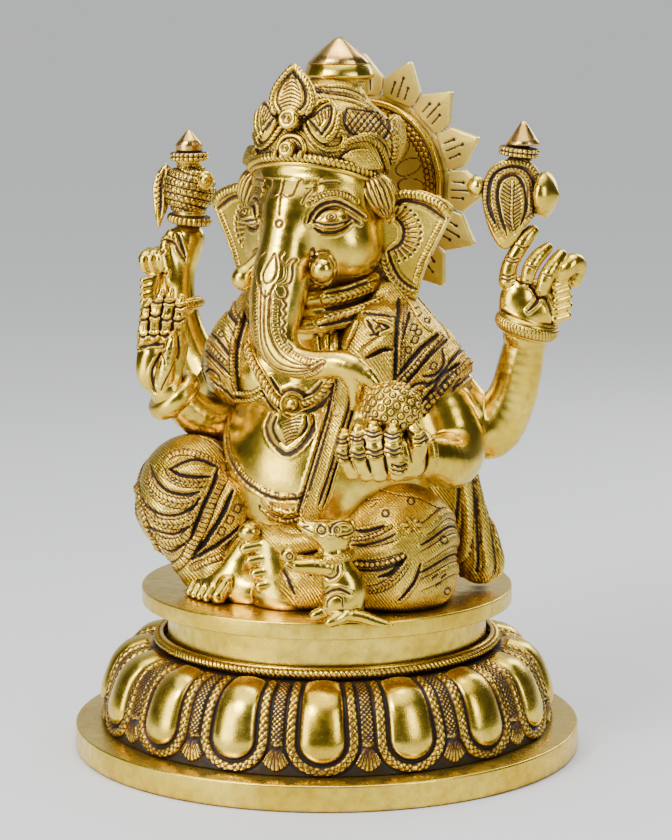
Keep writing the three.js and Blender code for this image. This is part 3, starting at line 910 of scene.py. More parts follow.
class Stroke:
    """One line drawn on a form: its kind, its path on the form, its width and its depth."""

    def __init__(self, kind, path, width, depth):
        self.kind, self.path, self.width, self.depth = kind, path, width, depth

    def nearest(self, points, normals, reach):
        """For points within reach: which they are, and their distance across and along the stroke."""
        low, high = self.path.min(0) - reach, self.path.max(0) + reach
        which = np.nonzero(np.all((points > low) & (points < high), axis=1))[0]
        p, n = points[which], normals[which]
        best = np.full(len(p), 1e9)
        along, side = np.zeros(len(p)), np.zeros(len(p))
        travelled = 0.0
        for a, b in zip(self.path[:-1], self.path[1:]):
            d = b - a
            length = np.linalg.norm(d)
            if length < 1e-9:
                continue
            d = d / length
            offset = p - a
            share = np.clip(offset @ d, 0, length)
            rest = offset - share[:, None] * d
            distance = np.linalg.norm(rest, axis=1)
            better = distance < best
            best[better] = distance[better]
            along[better] = travelled + share[better]
            side[better] = np.sum(np.cross(n[better], d) * rest[better], 1)
            travelled += length
        near = best < reach
        return which[near], best[near] * np.where(side[near] < 0, -1, 1), along[near], travelled


def ragged(along, across, amount=0.25):
    """An even wandering value, so that cut lines aren't ruler straight."""
    return 1 + amount * (np.sin(along * 1.7 + 1.3) * 0.6 + np.sin(along * 0.61 + across) * 0.4)


def stroke_relief(stroke, across, along, total):
    """Rise and ink of one stroke, by distance across it and along it."""
    w = stroke.width
    off = np.abs(across)
    ends = smooth_step(along, 0, w) * smooth_step(total - along, 0, w)
    if stroke.kind == "slit":
        taper = smooth_step(along, 0, 2.5 * w + 1) * smooth_step(total - along, 0, 2.5 * w + 1)
        open_half = w / 2 * (0.12 + 0.6 * taper) * ragged(along, across, 0.3)
        dark = 1 - smooth_step(off, open_half * 0.5, open_half + 0.5)
        lip = bump_between(off, open_half + 0.3, open_half + 2.4, 0.9)
        return -stroke.depth * dark + 0.4 * lip, np.maximum(dark, 0.24 * lip * taper)
    if stroke.kind == "line":
        dark = 1 - smooth_step(off, w * 0.25, w * 0.5 + 0.3)
        return -stroke.depth * dark, 0.6 * dark
    if stroke.kind == "roll":
        crown = np.sqrt(np.clip(1 - (off / (w / 2)) ** 2, 0, 1)) * np.sqrt(ends)
        dark = bump_between(off, w / 2 - 0.2, w / 2 + 0.7, 0.5)
        return stroke.depth * crown - 0.3 * dark, 0.75 * dark * np.sqrt(ends)
    if stroke.kind in ("braid", "bars", "feather"):
        pitch = max(w * 0.5, 1.9)
        slant = {"braid": 1.0, "bars": 0.15, "feather": 1.2}[stroke.kind]
        phase = (along + slant * (off if stroke.kind != "bars" else across)) / pitch
        wave = np.abs(phase - np.floor(phase) - 0.5) * 2
        body = np.sqrt(np.clip(1 - (off / (w / 2)) ** 2, 0, 1)) * (0.3 + 0.7 * np.sqrt(ends))
        cut_line = smooth_step(wave, 0.62, 0.95) * (off < w / 2)
        spine = (1 - smooth_step(off, 0.15, 0.5)) if stroke.kind == "braid" else 0.0
        dark = bump_between(off, w / 2 - 0.3, w / 2 + 0.55, 0.4)
        rise = stroke.depth * body - 0.55 * cut_line * body - 0.35 * spine * body - 0.25 * dark
        return rise, np.clip(0.62 * cut_line + 0.4 * spine + 0.7 * dark, 0, 1) * (0.4 + 0.6 * ends)
    if stroke.kind == "beads":
        pitch = w * 0.98
        place = (along / pitch) % 1 - 0.5
        radius = np.hypot(place * pitch, off)
        dome = np.sqrt(np.clip(1 - (radius / (w * 0.47)) ** 2, 0, 1))
        return stroke.depth * dome, 0.75 * (1 - smooth_step(dome, 0.0, 0.55)) * (off < w * 0.62)
    raise ValueError(stroke.kind)


DROP_FROM = 75
DROP_ROUNDS = 60
STROKE_MARGIN = 2.6


class Sketch:
    """Strokes drawn on a form from one side. Its places are millimetres right and up from the origin."""

    def __init__(self, form, origin, turn=FRONT_TURN, tilt=FRONT_TILT):
        self.form, self.origin = form, np.array(origin, float)
        self.right, self.up, self.towards = view_axes(turn, tilt)
        self.strokes = []

    def drop(self, places):
        """Where points of the drawing plane meet the form."""
        places = np.array(places, float)
        points = self.origin + places[:, :1] * self.right + places[:, 1:2] * self.up
        points = points + DROP_FROM * self.towards
        for _ in range(DROP_ROUNDS):
            gap = np.clip(self.form(points), -3, 25)
            points = points - gap[:, None] * 0.9 * self.towards
        return settle(self.form, points, 0.0, 2)

    def draw(self, kind, width, depth, *lines):
        """A stroke of one kind along each line, curved where the line has more than two places."""
        for line in lines:
            fine = curve_through(line, 5) if len(line) > 2 else np.linspace(line[0], line[1], 6)
            self.strokes.append(Stroke(kind, self.drop(fine), width, depth))
        return self

    def loop(self, kind, width, depth, centre, radius, squash=1.0, count=14):
        """A stroke of one kind round a centre."""
        turn = np.linspace(0, 2 * math.pi, count + 1)
        line = np.stack([centre[0] + radius * np.cos(turn), centre[1] + radius * squash * np.sin(turn)], 1)
        self.strokes.append(Stroke(kind, self.drop(line), width, depth))
        return self


def relief_of(*sketches, cloth=0.0):
    """The relief of every stroke, for Surface.add_form. cloth adds a stippled weave of that depth."""

    def relief(points, normals):
        rise, ink = np.zeros(len(points)), np.zeros(len(points))
        if cloth:
            x, y, z = points.T
            weave = np.sin(x * 4.1) * np.sin(y * 4.3 + 1) * np.sin(z * 4.2 + 2)
            rise += cloth * weave
            ink += 0.22 * smooth_step(-weave, 0.15, 0.6)
        for sketch in sketches:
            for stroke in sketch.strokes:
                reach = stroke.width / 2 + STROKE_MARGIN
                which, across, along, total = stroke.nearest(points, normals, reach)
                if len(which) == 0:
                    continue
                lift, dark = stroke_relief(stroke, across, along, total)
                rise[which] += lift
                ink[which] = np.maximum(ink[which], dark)
        return rise, np.clip(ink, 0, 1)

    return relief


GROUND = SEAT_TOP + 0.12


def seated(form):
    """The form, cut flat just above the seat."""
    return above(form, GROUND, 0.4)


# ---- Torso and cape ------------------------------------------------------------------------------
torso_form = seated(
    union(
        9,
        ball((0, -3, 150), (60, 54, 58)),
        ball((0, 4, 116), (62, 52, 40)),
        ball((0, 4, 206), (54, 36, 40)),
        ball((-22, -16, 203), (24, 22, 20)),
        ball((22, -16, 203), (24, 22, 20)),
        limb((0, -2, 225), (0, -6, 252), 32, 26),
    )
)
torso_lines = Sketch(torso_form, CHEST)
hem = [(-32, -28), (-33.5, -40), (-33, -52), (-28.5, -62), (-22, -69.5), (-10.5, -76.5), (1, -78), (10, -76)]
torso_lines.draw("bars", 2.4, 0.6, hem)
torso_lines.draw("slit", 1.5, 1.1, [(u - 1.4, v - 1.6) for u, v in hem])
torso_lines.draw("braid", 4.6, 1.4, [(-14, -80.5), (-8, -85.5), (0, -87), (8, -82.5)])
torso_lines.draw("beads", 2.4, 0.9, [(-16, -84), (-9, -89.5), (0, -91), (10, -86)])
# Grooves beside the necklace ropes, round the pendant, along both edges of the sash and round the necklace's
# middle bead. Their dark ink is painted shadow that these pieces cast on the chest.
for shift in (-4.2, 4.2):
    torso_lines.draw("slit", 2.6, 1.0, [(-13.5 + shift * 0.6, -19 + shift * 0.7),
        (-8.5 + shift * 0.4, -27 + shift * 0.8), (-4.5, -31 + shift)])
    torso_lines.draw("slit", 2.6, 1.0, [(5.5, -31 + shift), (13 - shift * 0.4, -27.5 + shift * 0.8),
        (18.5 - shift * 0.6, -21.5 + shift * 0.7)])
torso_lines.draw("slit", 2.6, 1.0, [(-11, -35), (-12.6, -42), (-10, -49), (-2.5, -56), (4.8, -52),
    (10.8, -44), (11.4, -36)])
torso_lines.draw("slit", 2.4, 1.1, [(22.6, -14), (22.2, -20), (19, -36), (14.4, -53), (9.4, -69.6), (4, -86)],
    [(34.2, -14), (33.4, -19), (31, -34), (26, -50.5), (21.2, -67), (16, -83)])
torso_lines.loop("slit", 2.4, 0.8, (1, -30), 7.6)
torso = Surface().add_form(torso_form, 0.8, relief_of(torso_lines))
torso.make("torso_cast", "torso", POLISHED)

cape_form = seated(
    union(
        10,
        ball((0, 22, 150), (70, 34, 88)),
        ball((0, 26, 110), (66, 38, 36)),
        limb((66, 18, 160), (79, 25, 103), 8, 12.5),
        limb((-66, 18, 160), (-79, 25, 103), 8, 12.5),
    )
)
cape_back = Sketch(cape_form, (0, 60, 150), 180, 0)
for u in (-42, -26, -9, 9, 26, 42):
    cape_back.draw("slit", 1.6, 1.2, [(u, 70), (u * 1.25, 20), (u * 1.45, -30), (u * 1.5, -56)])
for u in (-34, -17, 0, 17, 34):
    cape_back.draw("roll", 7, 2.0, [(u, 66), (u * 1.25, 20), (u * 1.45, -30), (u * 1.5, -54)])
cape_back.draw("braid", 5, 1.3, [(-78, -55), (-40, -58), (0, -59), (40, -58), (78, -55)])
cape_side = Sketch(cape_form, (80, 24, 120), 60, 0)
cape_other = Sketch(cape_form, (-80, 24, 120), -60, 0)
for u in (-14, -6, 2, 10):
    for sketch in (cape_side, cape_other):
        sketch.draw("slit", 1.5, 1.2, [(u, 45), (u * 1.1, 10), (u * 1.3, -28)])
for u in (-10, -2, 6):
    cape_side.draw("roll", 6, 1.6, [(u, 45), (u * 1.1, 10), (u * 1.3, -26)])
cape = Surface().add_form(cape_form, 0.85, relief_of(cape_back, cape_side, cape_other, cloth=0.12))
cape.make("back_cape_folds", "back_cape", CLOTH)

# ---- Right leg: the raised knee under folded cloth -----------------------------------------------
right_leg_form = seated(
    union(
        7,
        ball((-60, -40, 138), (29, 30, 32)),
        limb((-60, -44, 128), (-47, -50, 104), 26, 15),
        limb((-30, -6, 116), (-56, -36, 134), 30, 28),
        ball((-38, -44, 124), (17, 17, 26), (0, 20, 0)),
        limb((-44, -52, 100), (-33, -60, 103), 12, 10),
    )
)
leg = Sketch(right_leg_form, (-59, -42, 132))
leg.draw("slit", 1.5, 1.3, [(-10.5, 19.5), (-3, 23.5), (5, 24.5), (14, 20.5)],
    [(-10.5, 19.5), (-6, 17), (2, 15.5), (10.5, 15.5)])
leg.draw("bars", 4.6, 0.9, [(-14, 24.5), (-8.5, 28), (-0.5, 28.5), (8, 25.5), (17.5, 20.5)])
leg.draw("braid", 5.0, 1.2, [(-12.5, 17.5), (-6, 13.5), (2, 12.3), (10, 13.3)])
leg.draw("roll", 5.0, 0.9, [(-17, 20), (-11.5, 12), (-3, 8.5), (6, 9)])
leg.draw("slit", 1.1, 1.1, [(-22, 22), (-17.5, 13), (-11, 8), (-2.5, 6.3), (5, 7.5)])
leg.draw("braid", 5.4, 1.3, [(-23, 17.5), (-19.5, 8), (-11.5, 3), (-2, 1.5), (5.5, 5)])
leg.draw("slit", 1.1, 1.1, [(-26.5, 5), (-21.5, -1), (-14.5, -4.5), (-6.5, -4.5), (1, -1), (5.5, 4.5)])
leg.draw("braid", 5.4, 1.3, [(-25, 2), (-18, -7.5), (-8.5, -9.5), (0, -7), (4.5, -1)])
leg.draw("slit", 1.1, 1.0, [(-22.5, -11), (-15, -14), (-7.5, -14.5), (-0.5, -10.5)])
leg.draw("bars", 4.6, 1.2, [(-23, -11.5), (-14.5, -18.5), (-6.5, -18.7), (0, -13.5)])
leg.draw("slit", 1.0, 0.9, [(-19, -20), (-11, -24), (-3, -20)])
leg.draw("bars", 5.4, 1.4, [(-28, 23.5), (-29, 12.5), (-26, -3), (-21, -16), (-16.5, -25.5), (-10, -32),
    (-4, -29), (1, -21), (7.5, -8), (12.5, 5), (17.5, 15.5)])
leg.draw("slit", 1.3, 1.3, [(14.5, 19.5), (12, 10.5), (5.5, -3.5), (0.5, -17)])
leg.draw("slit", 2.6, 2.0, [(22.5, 8.5), (17, -4.5), (10, -15.5), (2.5, -25.5)])
leg.draw("slit", 2.0, 1.8, [(29, -8.5), (19, -17), (9.5, -23), (1, -27.5)])
leg.draw("slit", 1.6, 1.4, [(4.5, 36.5), (12, 33), (19.5, 24.5), (27, 12.5), (31.5, 1.5), (31.5, -4),
    (29, -8)])
leg.draw("bars", 4.2, 1.3, [(0.5, -32.5), (8, -29), (16.5, -26), (24.5, -22.5)])
for u, v in ((25, -1), (21, -7), (16.5, -13)):
    leg.draw("line", 0.8, 0.3, [(u - 2, v - 1.2), (u - 0.5, v + 2.2), (u + 2.5, v + 1.5)],
        [(u - 2, v - 1.2), (u + 1, v - 2.2), (u + 2.5, v + 1.5)])
leg_side = Sketch(right_leg_form, (-70, -30, 128), -70, 5)
leg_side.draw("braid", 5.2, 1.2, [(-22, 22), (-6, 27), (12, 22), (22, 8)],
    [(-24, 0), (-8, 8), (12, 4), (24, -6)])
leg_side.draw("slit", 1.2, 1.1, [(-24, 12), (-6, 18), (14, 12), (24, 0)],
    [(-22, -12), (-6, -6), (14, -10), (24, -18)])
leg_side.draw("bars", 5.0, 1.2, [(-18, -22), (-4, -18), (14, -22), (24, -26)])
Surface().add_form(right_leg_form, 0.55, relief_of(leg, leg_side, cloth=0.1)).make(
    "right_leg_folds", "right_leg", CLOTH
)

# ---- Left leg: folded flat, the knee to the side -------------------------------------------------
left_leg_form = seated(
    union(
        8,
        ball((55, -26, 116), (30, 32, 33)),
        ball((61, -24, 125), (22, 25, 21)),
        ball((56, -26, 100), (30, 32, 20)),
        limb((56, -38, 110), (20, -62, 102), 24, 14),
        limb((30, -2, 116), (50, -14, 120), 28, 28),
        limb((22, -60, 102), (8, -57, 99), 14.5, 13),
    )
)
fold = Sketch(left_leg_form, (57, -26, 114))
fold.draw("slit", 2.4, 1.8, [(-23.5, 13), (-17, 13), (-8.5, 15.5)])
fold.draw("beads", 2.2, 0.9, [(-25.5, 8.5), (-18.5, 9), (-10.5, 12), (-5.5, 15)])
fold.draw("slit", 1.0, 0.8, [(-25, 5.5), (-17.5, 6), (-9, 8.5), (-3, 11.5)])
fold.draw("roll", 6.5, 1.4, [(-24, 1.5), (-15.5, 1.5), (-7.5, 3), (1.5, 6)])
fold.draw("beads", 2.8, 1.2, [(-24, -3.8), (-14.5, -4.2), (-6.5, -2.8), (1, 0)])
fold.draw("slit", 1.1, 1.0, [(-23, -6.8), (-14.5, -7.2), (-6.5, -5.6), (1, -2.5)])
fold.draw("slit", 2.2, 1.6, [(-11.5, -10.5), (-5.5, -8.5), (0, -3), (2.5, 0)])
fold.draw("braid", 4.4, 1.3, [(-18, -17.5), (-10.5, -16), (-2.5, -10.5), (3, -3)])
fold.draw("slit", 1.9, 1.7, [(10, -4), (7.5, -12), (3, -18.5), (-1, -22.5)])
fold.draw("slit", 1.7, 1.4, [(-66, 4), (-62, -4), (-58, -12), (-54.5, -19.5)])
fold.draw("slit", 1.2, 1.0, [(-56, 4), (-50, -3), (-46, -10)])
fold.draw("beads", 2.4, 1.0, [(-32.5, 16.5), (-32, 21.5), (-28.5, 24)])
fold.draw("slit", 2.0, 1.4, [(-30.5, 18), (-27.5, 22)])
fold.draw("line", 0.9, 0.5, [(-36.5, 26), (-31, 26.5), (-22, 27.5), (-10, 29)],
    [(-10, 33), (0, 31), (10, 29), (20, 24)])
for place in ((5.5, 28), (-8, 22), (22, 8), (24.5, -19)):
    fold.loop("line", 0.9, 0.5, place, 1.8)
for angle in range(0, 360, 60):
    a = math.radians(angle)
    fold.draw("roll", 2.2, 0.8, [(6 + 1.6 * math.cos(a), 16 + 1.4 * math.sin(a)),
        (6 + 5.2 * math.cos(a), 16 + 4.4 * math.sin(a))])
for u, v in ((17, -10.5), (21.5, -10.5), (19.5, -14.5), (-14, 26)):
    fold.draw("line", 1.3, 0.6, [(u - 1.2, v - 0.8), (u + 1.2, v + 0.8)])
fold_side = Sketch(left_leg_form, (70, -20, 112), 75, 5)
fold_side.draw("roll", 6, 1.2, [(-20, 18), (0, 24), (20, 18)], [(-24, 4), (0, 10), (24, 4)],
    [(-26, -10), (0, -5), (24, -10)])
fold_side.draw("slit", 1.2, 1.0, [(-22, 11), (0, 17), (22, 11)], [(-25, -3), (0, 2), (24, -3)])
Surface().add_form(left_leg_form, 0.55, relief_of(fold, fold_side, cloth=0.13)).make(
    "left_leg_folds", "left_leg", CLOTH
)

# ---- Feet ----------------------------------------------------------------------------------------


def toe(root, tip, radius):
    """A toe: joint, ball and nail side, as one form."""
    root, tip = np.array(root, float), np.array(tip, float)
    knuckle = root + 0.5 * (tip - root) + [0, 0, radius * 0.35]
    return union(0.8, limb(root, knuckle, radius * 0.92, radius * 0.86),
        limb(knuckle, tip, radius * 0.86, radius * 0.95))


right_toes = []
for index, (tip_x, tip_y, size) in enumerate(((-46, -67, 2.6), (-41.2, -70.2, 2.7), (-36.3, -72.6, 2.8),
    (-31, -74.4, 3.0), (-23.6, -75.4, 4.5))):
    root = (tip_x - 0.5 + index * 0.9, tip_y + 11, 99.5 + index * 0.3)
    right_toes.append(toe(root, (tip_x, tip_y, 88.3 + size * 0.95), size))
right_foot_form = seated(
    union(
        1.2,
        union(5, ball((-28, -57, 95), (19, 14, 12)), ball((-15, -54, 93), (20, 17, 14)),
            limb((-18, -52, 112), (-26, -61, 98), 11.5, 10)),
        *right_toes,
    )
)
Surface().add_form(right_foot_form, 0.5).make("right_foot_cast", "right_foot", POLISHED)

left_toes = [
    limb((x - 1.8, -74.4, z - 0.6), (x + 6, -69.5, z + 1.2), 3.1, 3.3) for x,
        z in ((-6.5, 119.8), (-3.2, 113.6), (-0.2, 107.2), (2.4, 100.8))
]
left_foot_form = seated(
    union(
        1.0,
        union(4, ball((3, -65, 117), (10.5, 8, 13)), ball((5.4, -65, 105), (12.5, 9.5, 14)),
            ball((8, -64, 94), (18, 12, 11))),
        ball((-7, -72, 127.4), (6.0, 5.6, 5.4)),
        *left_toes,
    )
)
Surface().add_form(left_foot_form, 0.5).make("left_foot_cast", "left_foot", POLISHED)

waist_form = seated(
    union(
        2.5,
        ball((6, -46, 121), (22, 12, 9), (0, 8, 0)),
        chain([(-9, -60, 128, 3.4), (2, -66, 124.5, 5.2), (14, -67, 122, 5.6), (27, -63, 124, 4.6)]),
    )
)
Surface().add_form(waist_form, 0.6, relief_of(cloth=0.2)).make(
    "waist_cloth_folds", "waist_cloth", CLOTH
)


# ---- Slabs, mirrors and draped ropes -------------------------------------------------------------


def outline_distance(outline, u, v):
    """Signed distance in the plane to a closed outline, below 0 inside."""
    best = np.full(u.shape, 1e9)
    sign = np.ones(u.shape)
    for (ax, ay), (bx, by) in zip(outline, np.roll(outline, 1, 0)):
        ex, ey, wx, wy = bx - ax, by - ay, u - ax, v - ay
        share = np.clip((wx * ex + wy * ey) / (ex * ex + ey * ey + 1e-12), 0, 1)
        best = np.minimum(best, (wx - ex * share) ** 2 + (wy - ey * share) ** 2)
        first, second, third = v >= ay, v < by, ex * wy > ey * wx
        sign = np.where((first & second & third) | (~first & ~second & ~third), -sign, sign)
    return sign * np.sqrt(best)


def slab(outline, centre, turn=0.0, tilt=0.0, half=2.0, bulge=0.0, bulge_reach=6.0, edge=1.0, smooth=3,
    bend=0.0):
    """A plate facing turn and tilt, with its outline in millimetres right and up from its centre.

    bulge swells its middle, and bend curls its sides away from the viewer by that share of u squared."""
    closed = np.vstack([outline, outline[:1]])
    fine = curve_through(closed, smooth)[:-1] if smooth > 1 else np.array(outline, float)
    right, up, towards = view_axes(turn, tilt)
    centre = np.array(centre, float)

    def distance(points):
        local = points - centre
        u, v, w = local @ right, local @ up, local @ towards
        w = w + bend * u * u
        flat = outline_distance(fine, u, v)
        swell = half + bulge * smooth_step(-flat, 0, bulge_reach)
        return smooth_max(flat, np.abs(w) - swell, edge)

    corners = []
    reach = half + bulge + abs(bend) * np.max(fine[:, 0] ** 2)
    for u, v in fine:
        for w in (-reach, reach):
            corners.append(centre + u * right + v * up + w * towards)
    return Form(distance, np.min(corners, axis=0) - 0.5, np.max(corners, axis=0) + 0.5)


def mirrored(lines):
    """The same lines with left and right changed over."""
    return [[(-u, v) for u, v in line] for line in lines]


def mirror_sketch(sketch):
    """The same strokes on the other side of the figure."""
    other = Sketch(sketch.form, sketch.origin)
    for stroke in sketch.strokes:
        path = settle(sketch.form, stroke.path * [-1, 1, 1], 0.0, 2)
        other.strokes.append(Stroke(stroke.kind, path, stroke.width, stroke.depth))
    return other


def mirror_surface(surface):
    """The same surface on the other side of the figure."""
    other = Surface()
    for points, quads, ink in zip(surface.points, surface.quads, surface.ink):
        other.points.append(points * [-1, 1, 1])
        other.quads.append(quads[:, ::-1])
        other.ink.append(ink)
    other.count = surface.count
    return other


def draped_rope(surface, sketch, line, radius, lay, hand=1, strands=3, lift=0.3, depth=0.3):
    """A rope laid over the sketch's form along a drawn line."""
    path = sketch.drop(curve_through(line, 6) if len(line) > 2 else line)
    up = slopes(sketch.form, path, 0.6)
    surface.add(*rope(path + up * (radius * lift), radius, lay, False, up, hand, strands, depth=depth))


def ring_axes(normal):
    """A unit normal and two directions across it, the first towards +X as far as it can be."""
    normal = np.array(normal, float) / np.linalg.norm(normal)
    across = np.cross([0, 1, 0] if abs(normal[1]) < 0.9 else [0, 0, 1], normal)
    across /= np.linalg.norm(across)
    return normal, across, np.cross(normal, across)


def ring_points(centre, normal, radius, count):
    """Points on a circle round an axis, the last on the first."""
    _, across, other = ring_axes(normal)
    turn = np.radians(np.linspace(0, 360, count))
    return np.array(centre, float) + radius * (np.cos(turn)[:, None] * across + np.sin(turn)[:, None] * other)


def hoop(centre, normal, radius, minor):
    """A ring as a form."""
    centre = np.array(centre, float)
    normal = np.array(normal, float) / np.linalg.norm(normal)

    def distance(points):
        local = points - centre
        height = local @ normal
        flat = np.linalg.norm(local - height[:, None] * normal, axis=1) - radius
        return np.hypot(flat, height) - minor

    reach = (radius + minor) * np.sqrt(1 - normal**2) + minor
    return Form(distance, centre - reach, centre + reach)


def turned_form(profile, centre):
    """A solid turned about an upright axis from (radius, height) points, as a form."""
    outline = np.array([(r, h) for r, h in profile] + [(-r, h) for r, h in reversed(profile)], float)

    def distance(points):
        local = points - centre
        return outline_distance(outline, np.linalg.norm(local[:, :2], axis=1), local[:, 2])

    reach = max(r for r, _ in profile) + 0.3
    heights = [h for _, h in profile]
    return Form(distance, centre + [-reach, -reach, min(heights) - 0.3],
        centre + [reach, reach, max(heights) + 0.3])


# ---- Head and trunk ------------------------------------------------------------------------------
head_form = union(
    1.6,
    union(
        7,
        ball((0, -10, 287), (36.5, 37, 33)),
        ball((17, -15, 272), (21, 24, 20)),
        ball((-17, -15, 272), (21, 24, 20)),
        ball((0, -12, 256), (24, 24, 12)),
        ball((0, -7, 302), (36, 36, 16), (-20.8, 0, 0)),
        chain([(0, -38, 292, 14), (0, -44, 276, 13.5), (-0.5, -49, 258, 15), (0, -55, 243, 13.8),
            (1, -59, 232, 12), (6, -62, 222.8, 10.2), (15, -63.5, 217.2, 8.6), (27, -64, 216, 7.6),
            (40, -63, 217, 7.2), (48, -62, 215.5, 6.8)], 4),
    ),
    chain([(46, -62, 216, 6.4), (55, -61.5, 212.5, 4.8), (61, -60.5, 207, 2.9), (64.5, -60, 202.5, 1.2)], 3),
    chain([(45.5, -62, 215, 6.2), (49.5, -61.5, 208, 5), (49.5, -61, 200.5, 3.4), (47.5, -61, 195, 1.3)], 3),
    ball((23.5, -39, 288), (8.5, 6, 4.6), (0, -8, 28)),
    ball((-23.5, -39, 288), (8.5, 6, 4.6), (0, 8, -28)),
)
face = Sketch(head_form, FACE)
face.draw("slit", 1.5, 0.9, [(9.5, 4.5), (12, 10), (17, 14.2), (23, 15.8), (28.5, 14), (34, 11), (38.5, 8.5)])
face.draw("roll", 1.7, 0.8, [(11, 5), (13.5, 9.6), (18, 12.8), (23, 14), (28, 12.8), (33, 10), (37, 7)])
face.draw("slit", 1.1, 0.8, [(12.5, 5.5), (17, 10.2), (22.5, 11.6), (27, 10), (32, 7.2), (36, 5)])
face.draw("slit", 1.7, 0.9, [(12.5, 4.8), (17, 3.2), (22.5, 3), (27.5, 4.4), (31, 6.4)])
face.draw("roll", 1.5, 0.6, [(12, 3.4), (17, 1.7), (23, 1.5), (28, 3.2), (32, 6)])
face.draw("slit", 1.2, 0.7, [(12.5, 1.6), (17, -0.2), (23, -0.2), (28, 2), (31.5, 5)])
face.loop("line", 0.8, 0.5, (21.5, 7.4), 2.6, 0.9)
face.loop("line", 0.9, 0.6, (21.5, 7.4), 1.0, 1.0)
face.draw("line", 0.9, 0.5, [(6.5, 14.5), (9, 19.5), (14, 24), (19.5, 25.5), (25, 25.5)])
face.draw("bars", 2.8, 0.45, [(10, 14.5), (15.5, 18.3), (21.5, 20), (28.5, 19.3), (34, 16.2)])
other_eye = mirror_sketch(face)
marks = Sketch(head_form, FACE)
marks.draw("line", 0.8, 0.5, [(-9, 27.5), (-9, 24.5), (-10.5, 21), (-9, 18.5), (-6.5, 18.5), (-5, 20)])
marks.draw("line", 0.8, 0.5, [(-3.5, 27.5), (-4, 23.5), (-5, 18.5), (-5.5, 13.5), (-5.5, 8.5)])
marks.draw("line", 0.8, 0.5, [(-4, 19.5), (-1.5, 18), (1.5, 18.5), (3, 22), (4.5, 25.5), (6.5, 27.5)])
marks.loop("line", 1.0, 0.6, (-5.5, 4), 1.9)
marks.draw("line", 0.8, 0.45, [(-7.5, -11.5), (-10.5, -15.5), (-13.5, -20.5), (-14, -24.5), (-12, -26.5),
    (-8.5, -25.5), (-6.5, -21.5), (-6.5, -16), (-7.5, -11.5)])
marks.draw("line", 0.8, 0.45, [(-3, -11), (-5, -14), (-2.5, -17.5), (-2, -21), (-3, -24.5), (-6, -26.5)])
marks.draw("line", 0.8, 0.45, [(-1.5, -17), (1, -14.5), (4, -14.5), (1.5, -17.5), (1.5, -22.5), (0, -26.5),
    (-5, -28)])
marks.draw("line", 0.9, 0.45, [(-12.5, -11.5), (-16, -14), (-17.5, -20), (-16.5, -26.5), (-14.5, -31.5),
    (-12.5, -33.5), (-9.5, -31.5), (-7.5, -27.5)])
marks.draw("line", 0.8, 0.45, [(-7.5, -31), (-6, -34), (-2.5, -34.5), (-1, -31.5), (-2.5, -28)])
bend = Sketch(head_form, CHEST)
bend.draw("line", 0.9, 0.5, [(-15.5, 30), (-15.5, 24), (-15.5, 7.5), (-14, -3), (-8.5, -11), (1, -14),
    (10, -13), (17, -9.5)])
bend.draw("line", 0.8, 0.4, [(-13, 28), (-13.3, 7.5), (-11.5, -1.5), (-6, -9), (2, -12), (10, -12)])
bend.draw("line", 0.9, 0.5, [(-10, 26), (-10.5, 10.5), (-8.5, 2), (-4.5, -5), (1.5, -9.5), (10, -10.8)])
bend.draw("bars", 2.6, 0.15, [(-17.5, 30), (-17.5, 7.5), (-16, -3.5), (-9, -13), (1, -16), (10, -15.5),
    (16, -12)])
bend.draw("bars", 3.4, 0.12, [(-7.5, 24), (-7.6, 10.5), (-5.4, 2.5), (0, -4), (8, -8.2), (14, -9.3)])
for u, v in ((-2.6, 20.5), (-2.8, 16), (-3, 11.5), (-3.6, 7), (-2.6, 2.5), (0.5, -1.5)):
    bend.draw("line", 0.8, 0.4, [(u - 1, v + 2), (u + 0.8, v), (u - 0.8, v - 2)])
bend.draw("line", 0.8, 0.4, [(9.5, -11), (13, -9.5), (16, -7.5), (18, -9), (15.5, -11.5), (11.5, -14)])
tusk_socket = Sketch(head_form, FACE)
tusk_socket.loop("roll", 2.2, 0.8, (16.5, -18.5), 6.6, 1.15)
tusk_socket.loop("slit", 1.2, 0.8, (16.5, -19), 5.2, 1.15)
tusk_socket.draw("beads", 3.0, 1.1, [(11.5, -9.5), (10.8, -13), (11.2, -17)])
other_socket = mirror_sketch(tusk_socket)
head = Surface().add_form(head_form, 0.55, relief_of(face, other_eye, marks, bend, tusk_socket, other_socket))
head.make("head_cast", "head", POLISHED)

for side, name, tip in ((1, "left_tusk", (23, -48, 263)), (-1, "right_tusk", (-24, -48, 256))):
    tusk_form = union(1.5, limb((side * 17, -38, 266), tip, 5.2, 5.4), ball(tip, (5.6, 5.2, 6.2)))
    Surface().add_form(tusk_form, 0.6).make(name + "_cast", name, POLISHED)

# ---- Ears ----------------------------------------------------------------------------------------
ear_outline = [(-17, 18), (-9, 24), (0, 26.5), (9, 25), (20, 18.5), (17.5, 9), (12.5, -1), (7.5, -12),
    (4.5, -21), (2, -31), (-3, -30.5), (-10, -24), (-15, -14), (-17.5, -4), (-18, 8)]
ear_form = slab(np.array(ear_outline) * [1.08, 1.0], (50.5, 0.5, 275), 14, 0, 1.9, 0.0, 6, 0.8, 3, -0.003)
ear = Sketch(ear_form, (50, 0, 275))
ear.draw("bars", 4.4, 1.7, [(-12, 20.5), (-6, 23.3), (0, 23.6), (7, 22), (14, 18.5), (18.5, 14)])
ear.draw("slit", 1.4, 0.9, [(-11, 18.3), (-5, 20.3), (0, 20), (7, 17.9), (12, 14.7), (17, 10.8)])
ear.draw("slit", 1.5, 1.0, [(-15.5, 13), (-10.5, 13), (-5.5, 9), (-4, 4), (-6, -2), (-12, -5.5)])
